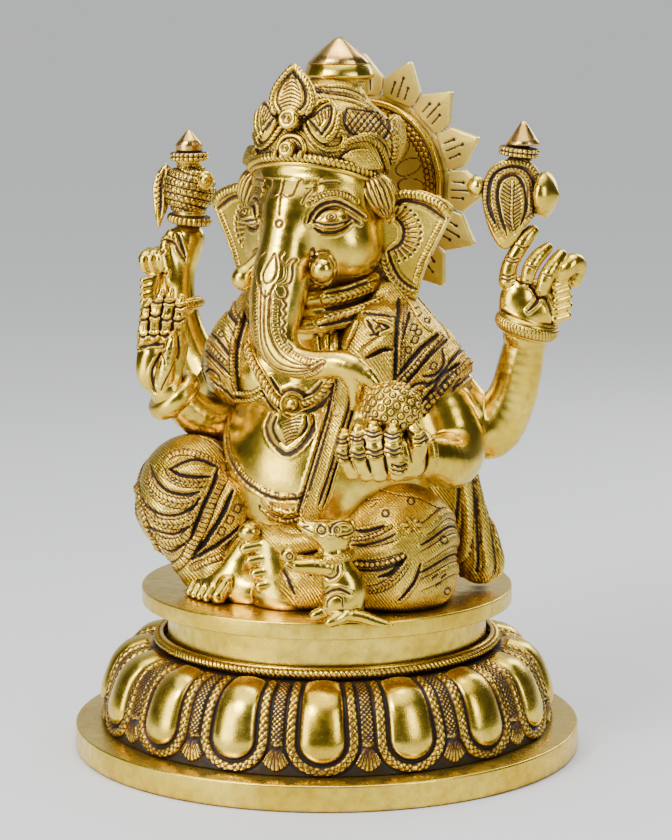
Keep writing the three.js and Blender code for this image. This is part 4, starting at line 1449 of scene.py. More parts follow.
for degree in range(-72, 84, 12):
    a = math.radians(degree)
    inner = (-11.5 + 8.6 * math.cos(a), 4 + 9.5 * math.sin(a))
    outer = (-11.5 + 14.5 * math.cos(a), 4 + 13.5 * math.sin(a))
    ear.draw("line", 0.8, 0.4, [inner, outer])
    ear.loop("line", 1.0, 0.5, (-11.5 + 16.4 * math.cos(a), 4 + 15.3 * math.sin(a)), 0.45, 1, 6)
ear.draw("slit", 1.2, 0.9, [(-12, -6), (-10.5, -11), (-7, -18), (-2, -23), (3, -25.5)])
ear.draw("braid", 5.2, 0.5, [(-14, -8), (-12.7, -13), (-9.5, -19), (-4.5, -24.5), (1, -28)])
ear.draw("bars", 3.0, 0.25, [(15.5, 10), (9.5, -2), (5, -11.5), (2.3, -21)])
ear_back = Sketch(ear_form, (50, 4, 275), 180, 0)
ear_back.draw("slit", 1.2, 0.7, [(-12, -20), (-8, -5), (-8, 12), (-13, 22)])
left_ear = Surface().add_form(ear_form, 0.55, relief_of(ear, ear_back))
left_ear.make("left_ear_cast", "left_ear", ANTIQUE)
mirror_surface(left_ear).make("right_ear_cast", "right_ear", ANTIQUE)

# ---- Crown ---------------------------------------------------------------------------------------
dome_form = union(
    3,
    ball((0, -1, 324), (36.5, 38, 28)),
    limb((0, 8, 344), (0, 12, 352), 21, 16),
    ball((36, 8, 327), (5, 10, 13)),
    ball((-36, 8, 327), (5, 10, 13)),
)
panel = Sketch(dome_form, TEMPLE)
panel.draw("slit", 1.2, 0.8, [(-8, 27), (6, 25.5), (13.5, 20.5), (12.5, 14), (8.5, 11.5), (-4.5, 12.5),
    (-9.5, 19), (-8, 27)])
for step in range(7):
    u = -7 + 3.1 * step
    panel.draw("line", 0.8, 0.5, [(u - 3.5, 13), (u + 5.5, 25.5)])
    panel.draw("line", 0.6, 0.35, [(u + 3.5, 13), (u - 4.5, 25.5)])
panel.draw("roll", 3.6, 1.2, [(-30, 33.5), (-22, 33.8), (-10, 32.4), (-1.5, 30), (6, 25.5), (14, 19)])
panel.draw("beads", 1.8, 0.7, [(-30, 36.8), (-22, 37), (-11, 37), (-2.5, 34.7), (3, 30.5), (9, 25)])
panel.draw("slit", 1.0, 0.7, [(-30, 35.2), (-22, 35.4), (-10, 34.6), (-1.5, 32), (6, 27.6)])
panel.draw("roll", 3.0, 1.0, [(-28, 39.5), (-22, 40), (-11, 40.2), (-2.5, 38), (2.5, 33.5)])
panel.draw("bars", 4.2, 1.3, [(14.5, 20), (17, 9), (15.5, 0.5), (12, -6)])
other_panel = mirror_sketch(panel)
back_panel = Sketch(dome_form, (0, 30, 325), 180, 0)
back_panel.draw("braid", 5, 1.3, [(-36, -6), (-20, -2), (0, 0), (20, -2), (36, -6)])
back_panel.draw("slit", 1.1, 0.8, [(-30, 12), (-14, 17), (0, 18), (14, 17), (30, 12)],
    [(-36, -11), (-20, -7), (0, -5), (20, -7), (36, -11)])
for u in range(-28, 32, 7):
    back_panel.draw("roll", 4.4, 0.9, [(u * 0.75, 14), (u, 4)])
Surface().add_form(dome_form, 0.6, relief_of(panel, other_panel, back_panel, cloth=0.08)).make(
    "crown_dome_cast", "crown_dome", CLOTH
)

brow_path = ring_points((0, -6, 305), (0, 0.38, 1), 37.6, 181)[:-1]
brow = Surface()
brow.add(*rope(brow_path + [0, 0, 1.2], 2.5, 2.7, True, np.array([0.0, 0, 1]) + 0 * brow_path, strands=2,
    depth=0.36))
brow.add(*plain_ring(brow_path * [0.985, 0.985, 1] + [0, 0, -2.2], 1.5))
brow.make("brow_band_rope", "brow_band", ANTIQUE)


FACET_DEPTH = 0.4


def faceted(profile, centre, count, columns=144):
    """A turned form from (radius, height) points, with count hammered faces round it."""
    profile = np.array(profile, float)
    angles = round_angles(columns)
    local = (angles % (2 * math.pi / count)) - math.pi / count
    factor = 1 + (math.cos(math.pi / count) / np.cos(local) - 1) * FACET_DEPTH
    points = revolved(profile[:, :1] * factor, profile[:, 1:], angles)
    return points.reshape(-1, 3) + np.array(centre, float), grid_quads(len(profile), columns)


FINIAL_BASE = (0, 14, high("crown_finial")[2] - 22.5)
finial = Surface()
neck_profile = [(0.02, -7), (13, -6), (15.2, -4.5), (15.8, -2), (15.4, -0.5), (18.2, 1.2)]
rim_profile = [(18.9, 2.2), (18.7, 3.2), (17.2, 8.0), (16.9, 8.2), (0.02, 8.3)]
finial.add(*faceted(neck_profile + rim_profile, FINIAL_BASE, 12))
finial.make("crown_finial_base", "crown_finial", POLISHED)
finial_tip = Surface()
tip_profile = [(0.02, 8.4), (16.6, 8.4), (16.9, 8.8), (12.4, 13.4), (7.6, 17.6), (3.4, 20.9), (1.6, 22.0),
    (0.02, 22.45)]
finial_tip.add(*faceted(tip_profile, FINIAL_BASE, 12))
finial_tip.make("crown_finial_tip", "crown_finial", COPPERY)

crest_outline = [(0, 13), (-4.5, 9.5), (-9.5, 3.5), (-12, -3), (-11.5, -9), (-7, -12.5), (0, -13.5),
    (7, -12.5), (11.5, -9), (12, -3), (9.5, 3.5), (4.5, 9.5)]
crest_form = slab(crest_outline, (0, -35.5, 353), 0, 12, 2.4, 1.2, 7, 0.9, 3, 0.01)
crest = Sketch(crest_form, (0, -36, 353), 0, 12)
for row in range(9):
    v = 8 - 2 * row
    half = 2.2 + 0.72 * row if row < 6 else 6.2
    scale_side = [[(-half, v - 1.8), (-half * 0.45, v - 0.2), (0, v + 0.4)]]
    crest.draw("line", 0.7, 0.4, *scale_side, *mirrored(scale_side))
leaf_side = [[(0, 9.8), (-5, 4.5), (-8, -1), (-8.2, -6.5), (-5.5, -10)]]
crest.draw("slit", 1.2, 0.8, *leaf_side, *mirrored(leaf_side))
crest_piece = Surface().add_form(crest_form, 0.5, relief_of(crest))
crest_rope = [(-9, -11.5), (-11.3, -8), (-11.4, -2.5), (-8.6, 3.6), (-4, 8.8), (0, 12.2), (4, 8.8),
    (8.6, 3.6), (11.4, -2.5), (11.3, -8), (9, -11.5)]
draped_rope(crest_piece, crest, crest_rope, 1.9, 2.4, lift=0.1)
crest_piece.make("crest_leaf_scaled", "crest_leaf", ANTIQUE)


BOSS_COLUMNS = 72


def boss(name, node, centre, axis, radius, length):
    """A turned stud with a dimpled, petalled face."""
    profile = np.array(
        [
            (0.02, -length * 0.5),
            (radius * 0.86, -length * 0.5),
            (radius, -length * 0.35),
            (radius, length * 0.25),
            (radius * 0.9, length * 0.44),
            (radius * 0.62, length * 0.5),
            (radius * 0.5, length * 0.44),
            (radius * 0.3, length * 0.52),
            (0.02, length * 0.56),
        ]
    )
    angles = round_angles(BOSS_COLUMNS)
    wave = 1 + 0.05 * np.cos(6 * angles)[None, :] * (profile[:, 0] < radius * 0.7)[:, None]
    points = revolved(profile[:, :1] * wave, profile[:, 1:], angles).reshape(-1, 3)
    points = points @ axes_along(axis, [0, 0, 1.0]) + np.array(centre, float)
    dimple = (profile[:, 0] < radius * 0.55) & (profile[:, 0] > radius * 0.4)
    stud = Surface()
    stud.add(points, grid_quads(len(profile), BOSS_COLUMNS), np.repeat(dimple * 0.7, BOSS_COLUMNS))
    stud.make(name, node, POLISHED)


boss("crest_boss_turned", "crest_boss", (0.5, -40.5, 338.5), (0.1, -1, 0.22), 5.6, 10)
boss("brow_boss_turned", "brow_boss", (0, -42.5, 323.5), (0.1, -1, 0.2), 4.2, 8)

# The side leaves of the crest, drawn for the figure's left and mirrored for its right.
left_leaf_outline = [(-9, -1), (-3.5, 5.5), (3, 9), (7, 4), (7.5, -4), (4, -10), (-1, -11.5), (-6, -7)]
left_leaf_form = slab(left_leaf_outline, (16.5, -33.5, 338), 27, 8, 2.2, 1.2, 5, 0.8, 3, 0.006)
leaf = Sketch(left_leaf_form, BROW)
leaf.draw("slit", 1.2, 0.9, [(8, -2), (13.5, 2.6), (19.3, 4.6), (19, -3), (14.5, -10)],
    [(8, -2.4), (11, -6), (14.5, -10)])
for step in range(5):
    leaf.draw("line", 0.7, 0.4, [(10.5 + 1.9 * step, -0.2 + 1.1 * step),
        (12.5 + 1.4 * step, -4.2 + 0.7 * step)])
left_leaf = Surface().add_form(left_leaf_form, 0.5, relief_of(leaf))
scroll_form = union(1, left_leaf_form, dome_form, hoop((0, -6, 306.2), (0, 0.38, 1), 37.6, 2.6))
scroll = Sketch(scroll_form, BROW)
draped_rope(left_leaf, scroll, [(7, -3), (11, 4.5), (14, 7.8), (19.5, 7.5), (22.8, 1), (21.2, -8),
    (16.5, -13)], 1.7, 2.4)
draped_rope(left_leaf, scroll, [(4, -2), (9.5, -12), (17, -17.2), (24, -16), (26.2, -11), (23.4, -8.6),
    (21.5, -11)], 1.9, 2.4, -1)
left_leaf.make("left_crest_leaf_roped", "left_crest_leaf", ANTIQUE)
mirror_surface(left_leaf).make("right_crest_leaf_roped", "right_crest_leaf", ANTIQUE)

wing_outline = [(-12, 1.5), (-6, 5), (1.5, 5), (7.5, 1), (10.5, -5), (-1.5, -5), (-8, -2)]
wing_form = slab(wing_outline, TEMPLE, 45, 8, 2.2, 0.9, 4, 0.8, 3, 0.006)
wing = Surface().add_form(wing_form, 0.5, relief_of(cloth=0.35))
wing_sketch = Sketch(union(1, wing_form, dome_form), TEMPLE)
draped_rope(wing, wing_sketch, [(-12, 4), (-8, 8.8), (1.5, 11), (8.5, 7.2), (12, -1), (13, -7)], 2.1, 2.5)
draped_rope(wing, wing_sketch, [(-3, 12), (5, 13), (11, 9.5), (14, 3)], 1.4, 2.2, -1)
wing.make("left_wing_leaf_roped", "left_wing_leaf", CLOTH)
mirror_surface(wing).make("right_wing_leaf_roped", "right_wing_leaf", CLOTH)

horseshoe = Surface()
horseshoe_sketch = Sketch(scroll_form, BROW, 0, 9)
draped_rope(horseshoe, horseshoe_sketch, [(-7, -22), (-7.4, -15), (-3.5, -10.5), (3.5, -10.5), (7.4, -15),
    (7, -22)], 1.5, 3, depth=0.05)
horseshoe.make("brow_horseshoe", "brow_boss", ANTIQUE)

hair_form = union(2, ball((36.5, -12, 301), (8.5, 9, 11), (0, -25, 0)),
    limb((37, -12, 296), (42, -10, 288), 7, 3))
hair = Sketch(hair_form, (36, -14, 300))
for step in range(6):
    s = -6.5 + 2.7 * step
    hair.draw("roll", 2.2, 0.9, [(s * 0.5 - 3.5, 10.5), (s + 0.5, 3), (s * 0.9 + 3.5, -5),
        (s * 0.25 + 7, -13)])
hair_piece = Surface().add_form(hair_form, 0.5, relief_of(hair))
hair_piece.make("left_hair_tuft_cast", "left_hair_tuft", ANTIQUE)
mirror_surface(hair_piece).make("right_hair_tuft_cast", "right_hair_tuft", ANTIQUE)

# ---- Halo ----------------------------------------------------------------------------------------
HALO = np.array([0, middle("halo")[1], 300.0])
HALO_RAYS = 15
HALO_LEAN = math.radians(-3.8)
DISC_RADIUS = 48
PETAL_FROM_MIDDLE = 25
RAY = np.array([(-8.6, 47), (-10.6, 49), (-11.4, 56.5), (-1.1, 69.6), (0, 70.2), (1.1, 69.6), (11.4, 56.5),
    (10.6, 49), (8.6, 47)])


def ray_place(points):
    """For points on the halo: distance across and along the nearest ray, and depth towards the front."""
    x, z = points[:, 0] - HALO[0], points[:, 2] - HALO[2]
    radius, angle = np.hypot(x, z), np.arctan2(x, z) - HALO_LEAN
    pitch = 2 * math.pi / HALO_RAYS
    local = (angle + pitch / 2) % pitch - pitch / 2
    return radius * np.sin(local), radius * np.cos(local), HALO[1] - points[:, 1]


def halo_distance(points):
    """The halo's form: a disc with fifteen rays that swell towards their middles at the front."""
    across, along, front = ray_place(points)
    ray = outline_distance(RAY, across, along) + 0.25
    swell = 1.7 + 1.3 * (1 - np.clip(np.abs(across) / 11.4, 0, 1)) * (front > 0)
    rays = smooth_max(ray, np.abs(front) - swell, 0.6)
    disc = smooth_max(np.hypot(across, along) - DISC_RADIUS, np.abs(front) - 1.5, 0.6)
    return np.minimum(rays, disc)


def halo_relief(points, normals):
    """Three pinned marks on each ray, petals cut round the disc and a dark seam between the rays."""
    across, along, front = ray_place(points)
    facing = (front > 0.6) & (normals[:, 1] < -0.4)
    ink, rise = np.zeros(len(points)), np.zeros(len(points))
    for offset, start, end in ((0, 49.5, 60.5), (-4.2, 49.5, 56.5), (4.2, 49.5, 56.5)):
        gap = np.abs(across - offset)
        line = (1 - smooth_step(gap, 0.25, 0.6)) * bump_between(along, start, end, 0.5)
        dot = 1 - smooth_step(np.hypot(gap, along - end), 0.6, 1.1)
        mark = np.maximum(line, dot) * facing
        ink, rise = np.maximum(ink, 0.95 * mark), rise - 0.45 * mark
    petal = np.abs(np.hypot(across * 1.9, along - PETAL_FROM_MIDDLE) - 8)
    carved = (1 - smooth_step(petal, 0.3, 0.8)) * (np.hypot(across, along) < 35) * facing
    ink, rise = np.maximum(ink, 0.6 * carved), rise - 0.5 * carved
    seam = smooth_step(np.abs(across) - 0.2 * (along - 47), 9.3, 10.4) * (along < 57) * facing
    return rise, np.clip(ink + 0.5 * seam, 0, 1)


halo_form = Form(halo_distance, HALO - [71, 4, 71], HALO + [71, 4, 71])
Surface().add_form(halo_form, 0.7, halo_relief).make("halo_rays", "halo", PALE)

# The ring of scales in front of the halo: a flat band round the middle.
BAND_RADIUS = 40
BAND_INSIDE = 34.8
BORDER_START = 41.6
SCALE_HIGH = 2.4
SCALE_WIDE = 3.4


def band_distance(points):
    x, behind, z = (points - HALO).T
    across = np.abs(np.hypot(x, z) - BAND_RADIUS) - (BAND_RADIUS - BAND_INSIDE)
    return smooth_max(across, np.abs(behind + 4.2) - 2.4, 0.9)


halo_band_form = Form(band_distance, HALO - [47, 8, 47], HALO + [47, 1, 47])


def scale_relief(points, normals):
    """Rows of round scales, each row half a scale on from the last, inside a raised border."""
    x, z = points[:, 0] - HALO[0], points[:, 2] - HALO[2]
    radius, angle = np.hypot(x, z), np.arctan2(x, z)
    facing = normals[:, 1] < -0.4
    border = bump_between(radius, 42.6, 45.5, 0.5)
    edge = bump_between(radius, BORDER_START, 42.7, 0.4)
    row = np.floor((radius - BAND_INSIDE) / SCALE_HIGH)
    u = angle * BAND_RADIUS / SCALE_WIDE + 0.5 * (row % 2)
    v = ((radius - BAND_INSIDE) / SCALE_HIGH) % 1
    arc = np.abs(np.hypot((u % 1 - 0.5) * 1.1, v * 0.8) - 0.55)
    cut_line = (1 - smooth_step(arc, 0.05, 0.2)) * (radius < BORDER_START)
    rise = 0.8 * border - 0.4 * cut_line - 0.6 * edge
    return rise * facing, np.clip(0.7 * cut_line + 0.9 * edge, 0, 1) * facing


Surface().add_form(halo_band_form, 0.6, scale_relief).make("halo_ring_scaled", "halo_ring", ANTIQUE)

bracket_half = (high("halo_bracket")[1] - low("halo_bracket")[1]) / 2 - 0.2
bracket_outline = [(-9, -6), (-7, 6), (7, 6), (9, -6)]
bracket_form = slab(bracket_outline, middle("halo_bracket"), 0, 0, bracket_half, 0, 4, 1.2, 2)
Surface().add_form(bracket_form, 0.8).make("halo_bracket_cast", "halo_bracket", BRACKET)


# ---- Shawls, arms and hands ----------------------------------------------------------------------


def seen(origin, *stations):
    """Stations of right, up, towards (and radius) from origin, as x, y, z (and radius)."""
    axes = np.stack(view_axes(FRONT_TURN, FRONT_TILT))
    return [(*(np.array(origin) + np.array(s[:3]) @ axes), *s[3:]) for s in stations]


def seen_ball(origin, place, radii, spin=0.0):
    """An ellipsoid with radii right, up and towards, spun in the drawing plane."""
    return ball(seen(origin, place)[0], (radii[0], radii[2], radii[1]), (0, spin, FRONT_TURN))


def seen_limb(origin, a, b, radius_a, radius_b):
    return limb(*seen(origin, a, b), radius_a, radius_b)


def finger(origin, *stations):
    return chain(seen(origin, *stations), 3)


# Folds and bead rows on the back and the outer side of the left shawl; the right one mirrors them.
SHAWL_BACK_ROLLS = [[(-24, 10), (-8, 16), (12, 20)], [(-26, -4), (-8, 0), (14, 4)]]
SHAWL_BACK_SLITS = [[(-25, 3), (-8, 8), (13, 12)], [(-25, -12), (-8, -9), (13, -6)]]
SHAWL_SIDE_SLITS = [[(-24, -2), (-8, 10), (8, 14), (22, 12)], [(-22, -14), (-8, -4), (8, 0), (24, -2)]]
SHAWL_SIDE_BEADS = [[(-23, -7.5), (-8, 3), (8, 7), (22, 5)]]

left_shawl_form = union(
    9,
    limb((32, 2, 238), (56, -2, 205), 18, 26),
    ball((52, -2, 200), (27, 31, 26)),
    ball((42, -22, 217), (21, 17, 27)),
)
drape = Sketch(left_shawl_form, (50, -20, 215))
drape.draw("slit", 1.5, 1.3, [(8.5, 24.5), (6.5, 18), (4, 10)])
drape.draw("slit", 1.9, 1.5, [(23, 13), (14, 5.5), (6.5, -3), (1.5, -9.5)])
drape.draw("beads", 2.6, 1.0, [(25.5, 12.5), (18, 4.5), (10.5, -4.5), (4, -11.5)])
drape.draw("slit", 1.1, 1.0, [(28, 10.5), (19, 2), (13, -4.5), (6, -13)])
drape.draw("slit", 1.5, 1.2, [(25, 5), (26, -2), (21.5, -8), (15, -9)])
drape.draw("slit", 1.9, 1.6, [(34.5, -2), (25.5, -8), (19, -16.5), (9, -29)])
drape.draw("beads", 3.4, 1.3, [(31, -8), (25, -15.5), (18, -24), (13, -30)])
drape.draw("slit", 1.2, 1.2, [(34.5, -10), (27, -19), (16, -31.5)])
drape.draw("slit", 1.4, 1.1, [(19, -13), (11.5, -13), (7.5, -17.5), (6.5, -24.5)])
drape.draw("slit", 1.8, 1.5, [(3, 32), (1.5, 17), (1, 5.5), (0.5, -8), (-0.5, -17.5)])
drape.draw("braid", 4.2, 1.2, [(5.4, 30), (4, 17), (3.5, 5.5), (3, -8)])
drape.draw("roll", 5, 1.1, [(9, 32), (13, 24), (18, 17), (27, 12.5)])
drape.draw("roll", 6.5, 2.4, [(-17, 1.5), (-12, 5), (-6, 8.6), (-0.5, 10.4)])
drape.draw("slit", 2.2, 1.6, [(-14, 0.5), (-6.5, 4.2), (-1, 4.6)])
drape.draw("slit", 1.5, 1.2, [(-16, 24), (-9, 23), (-4, 22.4), (0.6, 21.4)], [(-14, 20), (-10.4, 13.4)],
    [(-12, 12), (-6, 13.2), (0.4, 15.4)])
drape.draw("line", 0.9, 0.5, [(-11, 20), (-7, 18.6), (-1.4, 19.4)], [(-9.4, 15), (-6.6, 18), (-2, 15.6)],
    [(-8, 17), (-5, 14.6), (-1.6, 17)])
drape.draw("line", 0.8, 0.4, [(16.6, 26), (19.4, 22), (18.2, 19.6)], [(12.6, 28), (14.6, 24.6), (12.8, 22)],
    [(11, 26), (13.4, 27.4)])
drape.draw("roll", 4.6, 0.9, [(18.5, 6), (12.5, -1.2), (6, -8.5)], [(28.5, -3.5), (22.5, -11), (14, -20)])
for u, v in ((7.5, 4.5), (13, 14), (17.5, 20)):
    drape.loop("line", 0.8, 0.5, (u, v), 1.7)
for u, v in ((10.5, 16.5), (11, 10), (20.5, -3.5), (12.5, -18)):
    drape.draw("line", 0.8, 0.4, [(u - 2, v - 1.5), (u - 0.4, v + 1.8), (u + 2, v + 1)],
        [(u - 2, v - 1.5), (u + 0.8, v - 1.8), (u + 2, v + 1)])
drape_back = Sketch(left_shawl_form, (54, 10, 212), 150, 5)
drape_back.draw("roll", 6, 1.4, *SHAWL_BACK_ROLLS)
drape_back.draw("slit", 1.5, 1.3, *SHAWL_BACK_SLITS)
drape_back.draw("beads", 2.8, 1.1, [(-26, -15.5), (-8, -13), (13, -10)])
drape_side = Sketch(left_shawl_form, (76, -2, 205), 85, 5)
drape_side.draw("slit", 1.7, 1.4, *SHAWL_SIDE_SLITS)
drape_side.draw("beads", 3.0, 1.2, *SHAWL_SIDE_BEADS)
Surface().add_form(left_shawl_form, 0.6, relief_of(drape, drape_back, drape_side, cloth=0.13)).make(
    "left_shawl_folds", "left_shawl", CLOTH
)

right_shawl_form = union(
    8,
    limb((-31, 2, 238), (-46, -2, 208), 19, 24),
    ball((-45, -2, 202), (23, 29, 26)),
    ball((-40, -22, 212), (18, 16, 25)),
)
wrap = Sketch(right_shawl_form, (-50, -25, 215))
wrap.draw("slit", 1.3, 1.1, [(3, 24.5), (4.5, 17.5), (8.5, 12.5)])
wrap.draw("beads", 2.4, 1.0, [(6, 26.5), (6.5, 19.5), (10, 13.5)])
wrap.loop("line", 0.9, 0.5, (0, 7.5), 1.6)
wrap.draw("slit", 1.7, 1.4, [(-6.5, 9), (-1, 3), (4.5, -4)])
wrap.draw("beads", 2.6, 1.1, [(-8, 3.5), (-2, -3.5), (2.5, -8)])
wrap.draw("slit", 1.8, 1.5, [(-9, -1), (-2, -8), (5, -14.5)])
wrap.draw("slit", 1.3, 1.1, [(-9, -12.5), (-5.5, -11), (-1, -14.5), (-0.5, -18)])
wrap.draw("slit", 1.9, 1.5, [(-5.5, -17.5), (1, -22), (8, -28.5)])
wrap.draw("roll", 4.5, 1.0, [(-9, -5), (-3.5, -11.5), (3, -18.5)], [(1, 12), (5, 5), (8, -3)])
wrap.draw("bars", 3.4, 1.0, [(12, 20), (9.5, 11.5), (6.5, -1), (6.5, -15), (8.5, -24)])
wrap.draw("slit", 1.3, 1.1, [(14.2, 20), (11.8, 11.5), (8.8, -1), (8.6, -15), (10.5, -24)])
wrap_back = Sketch(right_shawl_form, (-48, 10, 212), -150, 5)
wrap_back.draw("roll", 6, 1.4, *mirrored(SHAWL_BACK_ROLLS))
wrap_back.draw("slit", 1.5, 1.3, *mirrored(SHAWL_BACK_SLITS))
wrap_side = Sketch(right_shawl_form, (-70, -2, 205), -75, 5)
wrap_side.draw("slit", 1.7, 1.4, *mirrored(SHAWL_SIDE_SLITS))
wrap_side.draw("beads", 3.0, 1.2, *mirrored(SHAWL_SIDE_BEADS))
Surface().add_form(right_shawl_form, 0.6, relief_of(wrap, wrap_back, wrap_side, cloth=0.13)).make(
    "right_shawl_folds", "right_shawl", CLOTH
)

# Upper arms and forearms, with the crease of the elbow.
ARMS = {
    "left_rear_arm": [(56, 12, 208, 15), (71, 19, 183, 16.5), (85, 23, 174.5, 15.5), (96, 26, 191, 13),
        (101.5, 26, 211, 11.6), (105.5, 26, 230, 10.4)],
    "right_rear_arm": [(-54, 12, 208, 13), (-70, 19, 193, 14), (-84, 24, 185, 13.5), (-93, 26, 196, 12),
        (-100, 26, 210, 10), (-103.6, 26, 221, 8.8), (-105.4, 26, 231, 8)],
    "left_front_arm": [(56, -4, 205, 17), (69, -4, 188, 18), (78, -8, 170, 17.5), (83, -22, 164.5, 14.5),
        (83, -38, 168.5, 11.5), (79, -51, 172, 9.2)],
    "right_front_arm": [(-50, -2, 206, 15), (-53, -8, 188, 14.5), (-55, -17, 176, 13.2),
        (-62, -31, 179, 11.2), (-71, -42, 192, 9.8)],
}
for arm_name, stations in ARMS.items():
    arm_form = chain(stations, 4)
    Surface().add_form(arm_form, 0.8).make(arm_name + "_cast", arm_name, POLISHED)


def bangle(name, node, centre, normal, radius, minor, tall, teeth, grooves=1.0):
    """A bracelet: milled round its middle between two grooves."""
    centre = np.array(centre, float)
    normal, across, other = ring_axes(normal)

    def distance(points):
        local = points - centre
        height = local @ normal
        flat = np.linalg.norm(local - height[:, None] * normal, axis=1) - radius
        return np.hypot(flat, height / tall) - minor

    def relief(points, normals):
        local = points - centre
        height = local @ normal
        angle = np.arctan2(local @ other, local @ across)
        out = np.sum((local - height[:, None] * normal) * normals, 1) > 0
        share = np.abs(height) / (minor * tall)
        tooth = np.abs(np.sin(angle * teeth / 2 + np.sign(height) * 0.6))
        groove = bump_between(share, 0.5, 0.68, 0.12) * out * grooves
        mill = (1 - smooth_step(share, 0.4, 0.5)) * out * grooves
        rise = 0.55 * mill * tooth - 0.45 * groove
        return rise, np.clip(0.85 * groove + 0.7 * mill * (1 - smooth_step(tooth, 0.1, 0.5)), 0, 1)

    reach = (radius + minor) * np.sqrt(1 - normal**2) + minor * tall
    form = Form(distance, centre - reach, centre + reach)
    Surface().add_form(form, 0.5, relief).make(name, node, ANTIQUE)


bangle("left_rear_bangle_milled", "left_rear_bangle", (104.8, 26, 231), (0.3, 0, 1), 13.2, 3.4, 1.5, 52)
bangle("right_rear_bangle_milled", "right_rear_bangle", (-105, 26, 230), (-0.16, 0, 1), 9.4, 2.6, 1.4, 38)
bangle("left_front_bangle_turned", "left_front_bangle", (80, -48.5, 172), (-0.45, -0.9, 0.05), 10.4, 2.4, 1.4,
    40, 0.35)
bangle("right_front_bangle_turned", "right_front_bangle", (-70.5, -40.5, 190), (-0.5, -0.5, 0.8), 12.2, 3.9,
    1.4, 40, 0.0)

# ---- Blessing hand -------------------------------------------------------------------------------
BLESSING = (-70, -46, 212)
blessing_form = union(
    0.8,
    union(
        3,
        slab([(-16, 9), (-17, -1), (-16.2, -9), (-12, -17), (-4, -21), (4, -16), (8, -5), (8.6, 11)],
            BLESSING, FRONT_TURN, FRONT_TILT, 3.2, 1.6, 6, 1.6, 3),
        seen_ball(BLESSING, (-10.5, -5.5, 2), (6.4, 11.5, 5), 8),
        seen_limb(BLESSING, (-1, -18, -3), (1, -24, -7), 9.5, 9.5),
    ),
    finger(BLESSING, (-3.5, -15, 3, 4.6), (-1.6, -7, 6, 4.6), (0.4, 1, 8, 3.6), (1.6, 7, 8.6, 2.9),
        (2.2, 11.5, 8.2, 1.7)),
    finger(BLESSING, (-13.4, 6, 1.4, 2.9), (-13.2, 15, 2.4, 2.9), (-12.4, 23, 2.2, 2.6),
        (-10.8, 29.4, 1.2, 1.6)),
    finger(BLESSING, (-7.8, 6, 1.8, 3.2), (-7.4, 16, 2.9, 3.2), (-6.2, 26, 2.8, 2.9), (-4, 34.6, 1.6, 1.8)),
    finger(BLESSING, (-1.7, 6, 1.8, 3.2), (-1.2, 16, 2.9, 3.2), (-0.2, 27, 2.8, 2.9), (1, 35.2, 1.6, 1.8)),
    finger(BLESSING, (5, 8, 1.6, 3.3), (5.2, 16, 2.6, 3.3), (5.8, 25, 2.4, 3.1), (6.3, 31, 1.4, 2.4)),
)
palm = Sketch(blessing_form, BLESSING)
palm.draw("slit", 1.0, 0.8, [(-16, 19.5), (-13, 19), (-10.6, 19.8)],
    [(-10, 21.5), (-7.2, 20.6), (-4.4, 21.6)], [(-3.8, 19.5), (-1, 18.6), (1.6, 19.8)],
    [(2.6, 18.6), (5.4, 18.2), (8.4, 19.8)])
palm.draw("slit", 0.9, 0.7, [(-14, 26), (-11.6, 25.6), (-9.4, 26.4)],
    [(-8.4, 28.4), (-5.6, 27.8), (-3, 28.6)], [(-2.4, 28.4), (0.4, 27.8), (2.8, 28.6)],
    [(3.6, 26), (6.2, 25.4), (8.8, 26.6)])
palm.draw("slit", 1.1, 0.9, [(-16.5, 11.5), (-13.7, 9.8), (-11, 11.5)],
    [(-10.8, 11.8), (-7.8, 10.4), (-5, 11.8)], [(-4.8, 11.6), (-1.8, 10.2), (0.8, 11.4)])
palm.draw("slit", 0.9, 0.8, [(-11, 11), (-10.4, 20), (-8.8, 29)], [(-5, 11.5), (-4.2, 22), (-1.8, 33)],
    [(1.5, 12.5), (2.1, 22), (4, 33)])
palm.draw("slit", 1.5, 1.0, [(-16, 4.6), (-9, 6), (-2.5, 6.4)])
palm.draw("slit", 1.0, 0.8, [(-1.6, 3), (-5.5, -1.5), (-8.6, -8), (-8.4, -15), (-7, -19)])
palm.draw("line", 0.9, 0.5, [(-2.5, 5.5), (-3, 0), (-1.6, -4.5)],
    [(4.6, 10), (5, 2), (2.6, -5), (-1, -12), (-4, -18)])
Surface().add_form(blessing_form, 0.45, relief_of(palm)).make("blessing_hand_cast", "blessing_hand", POLISHED)

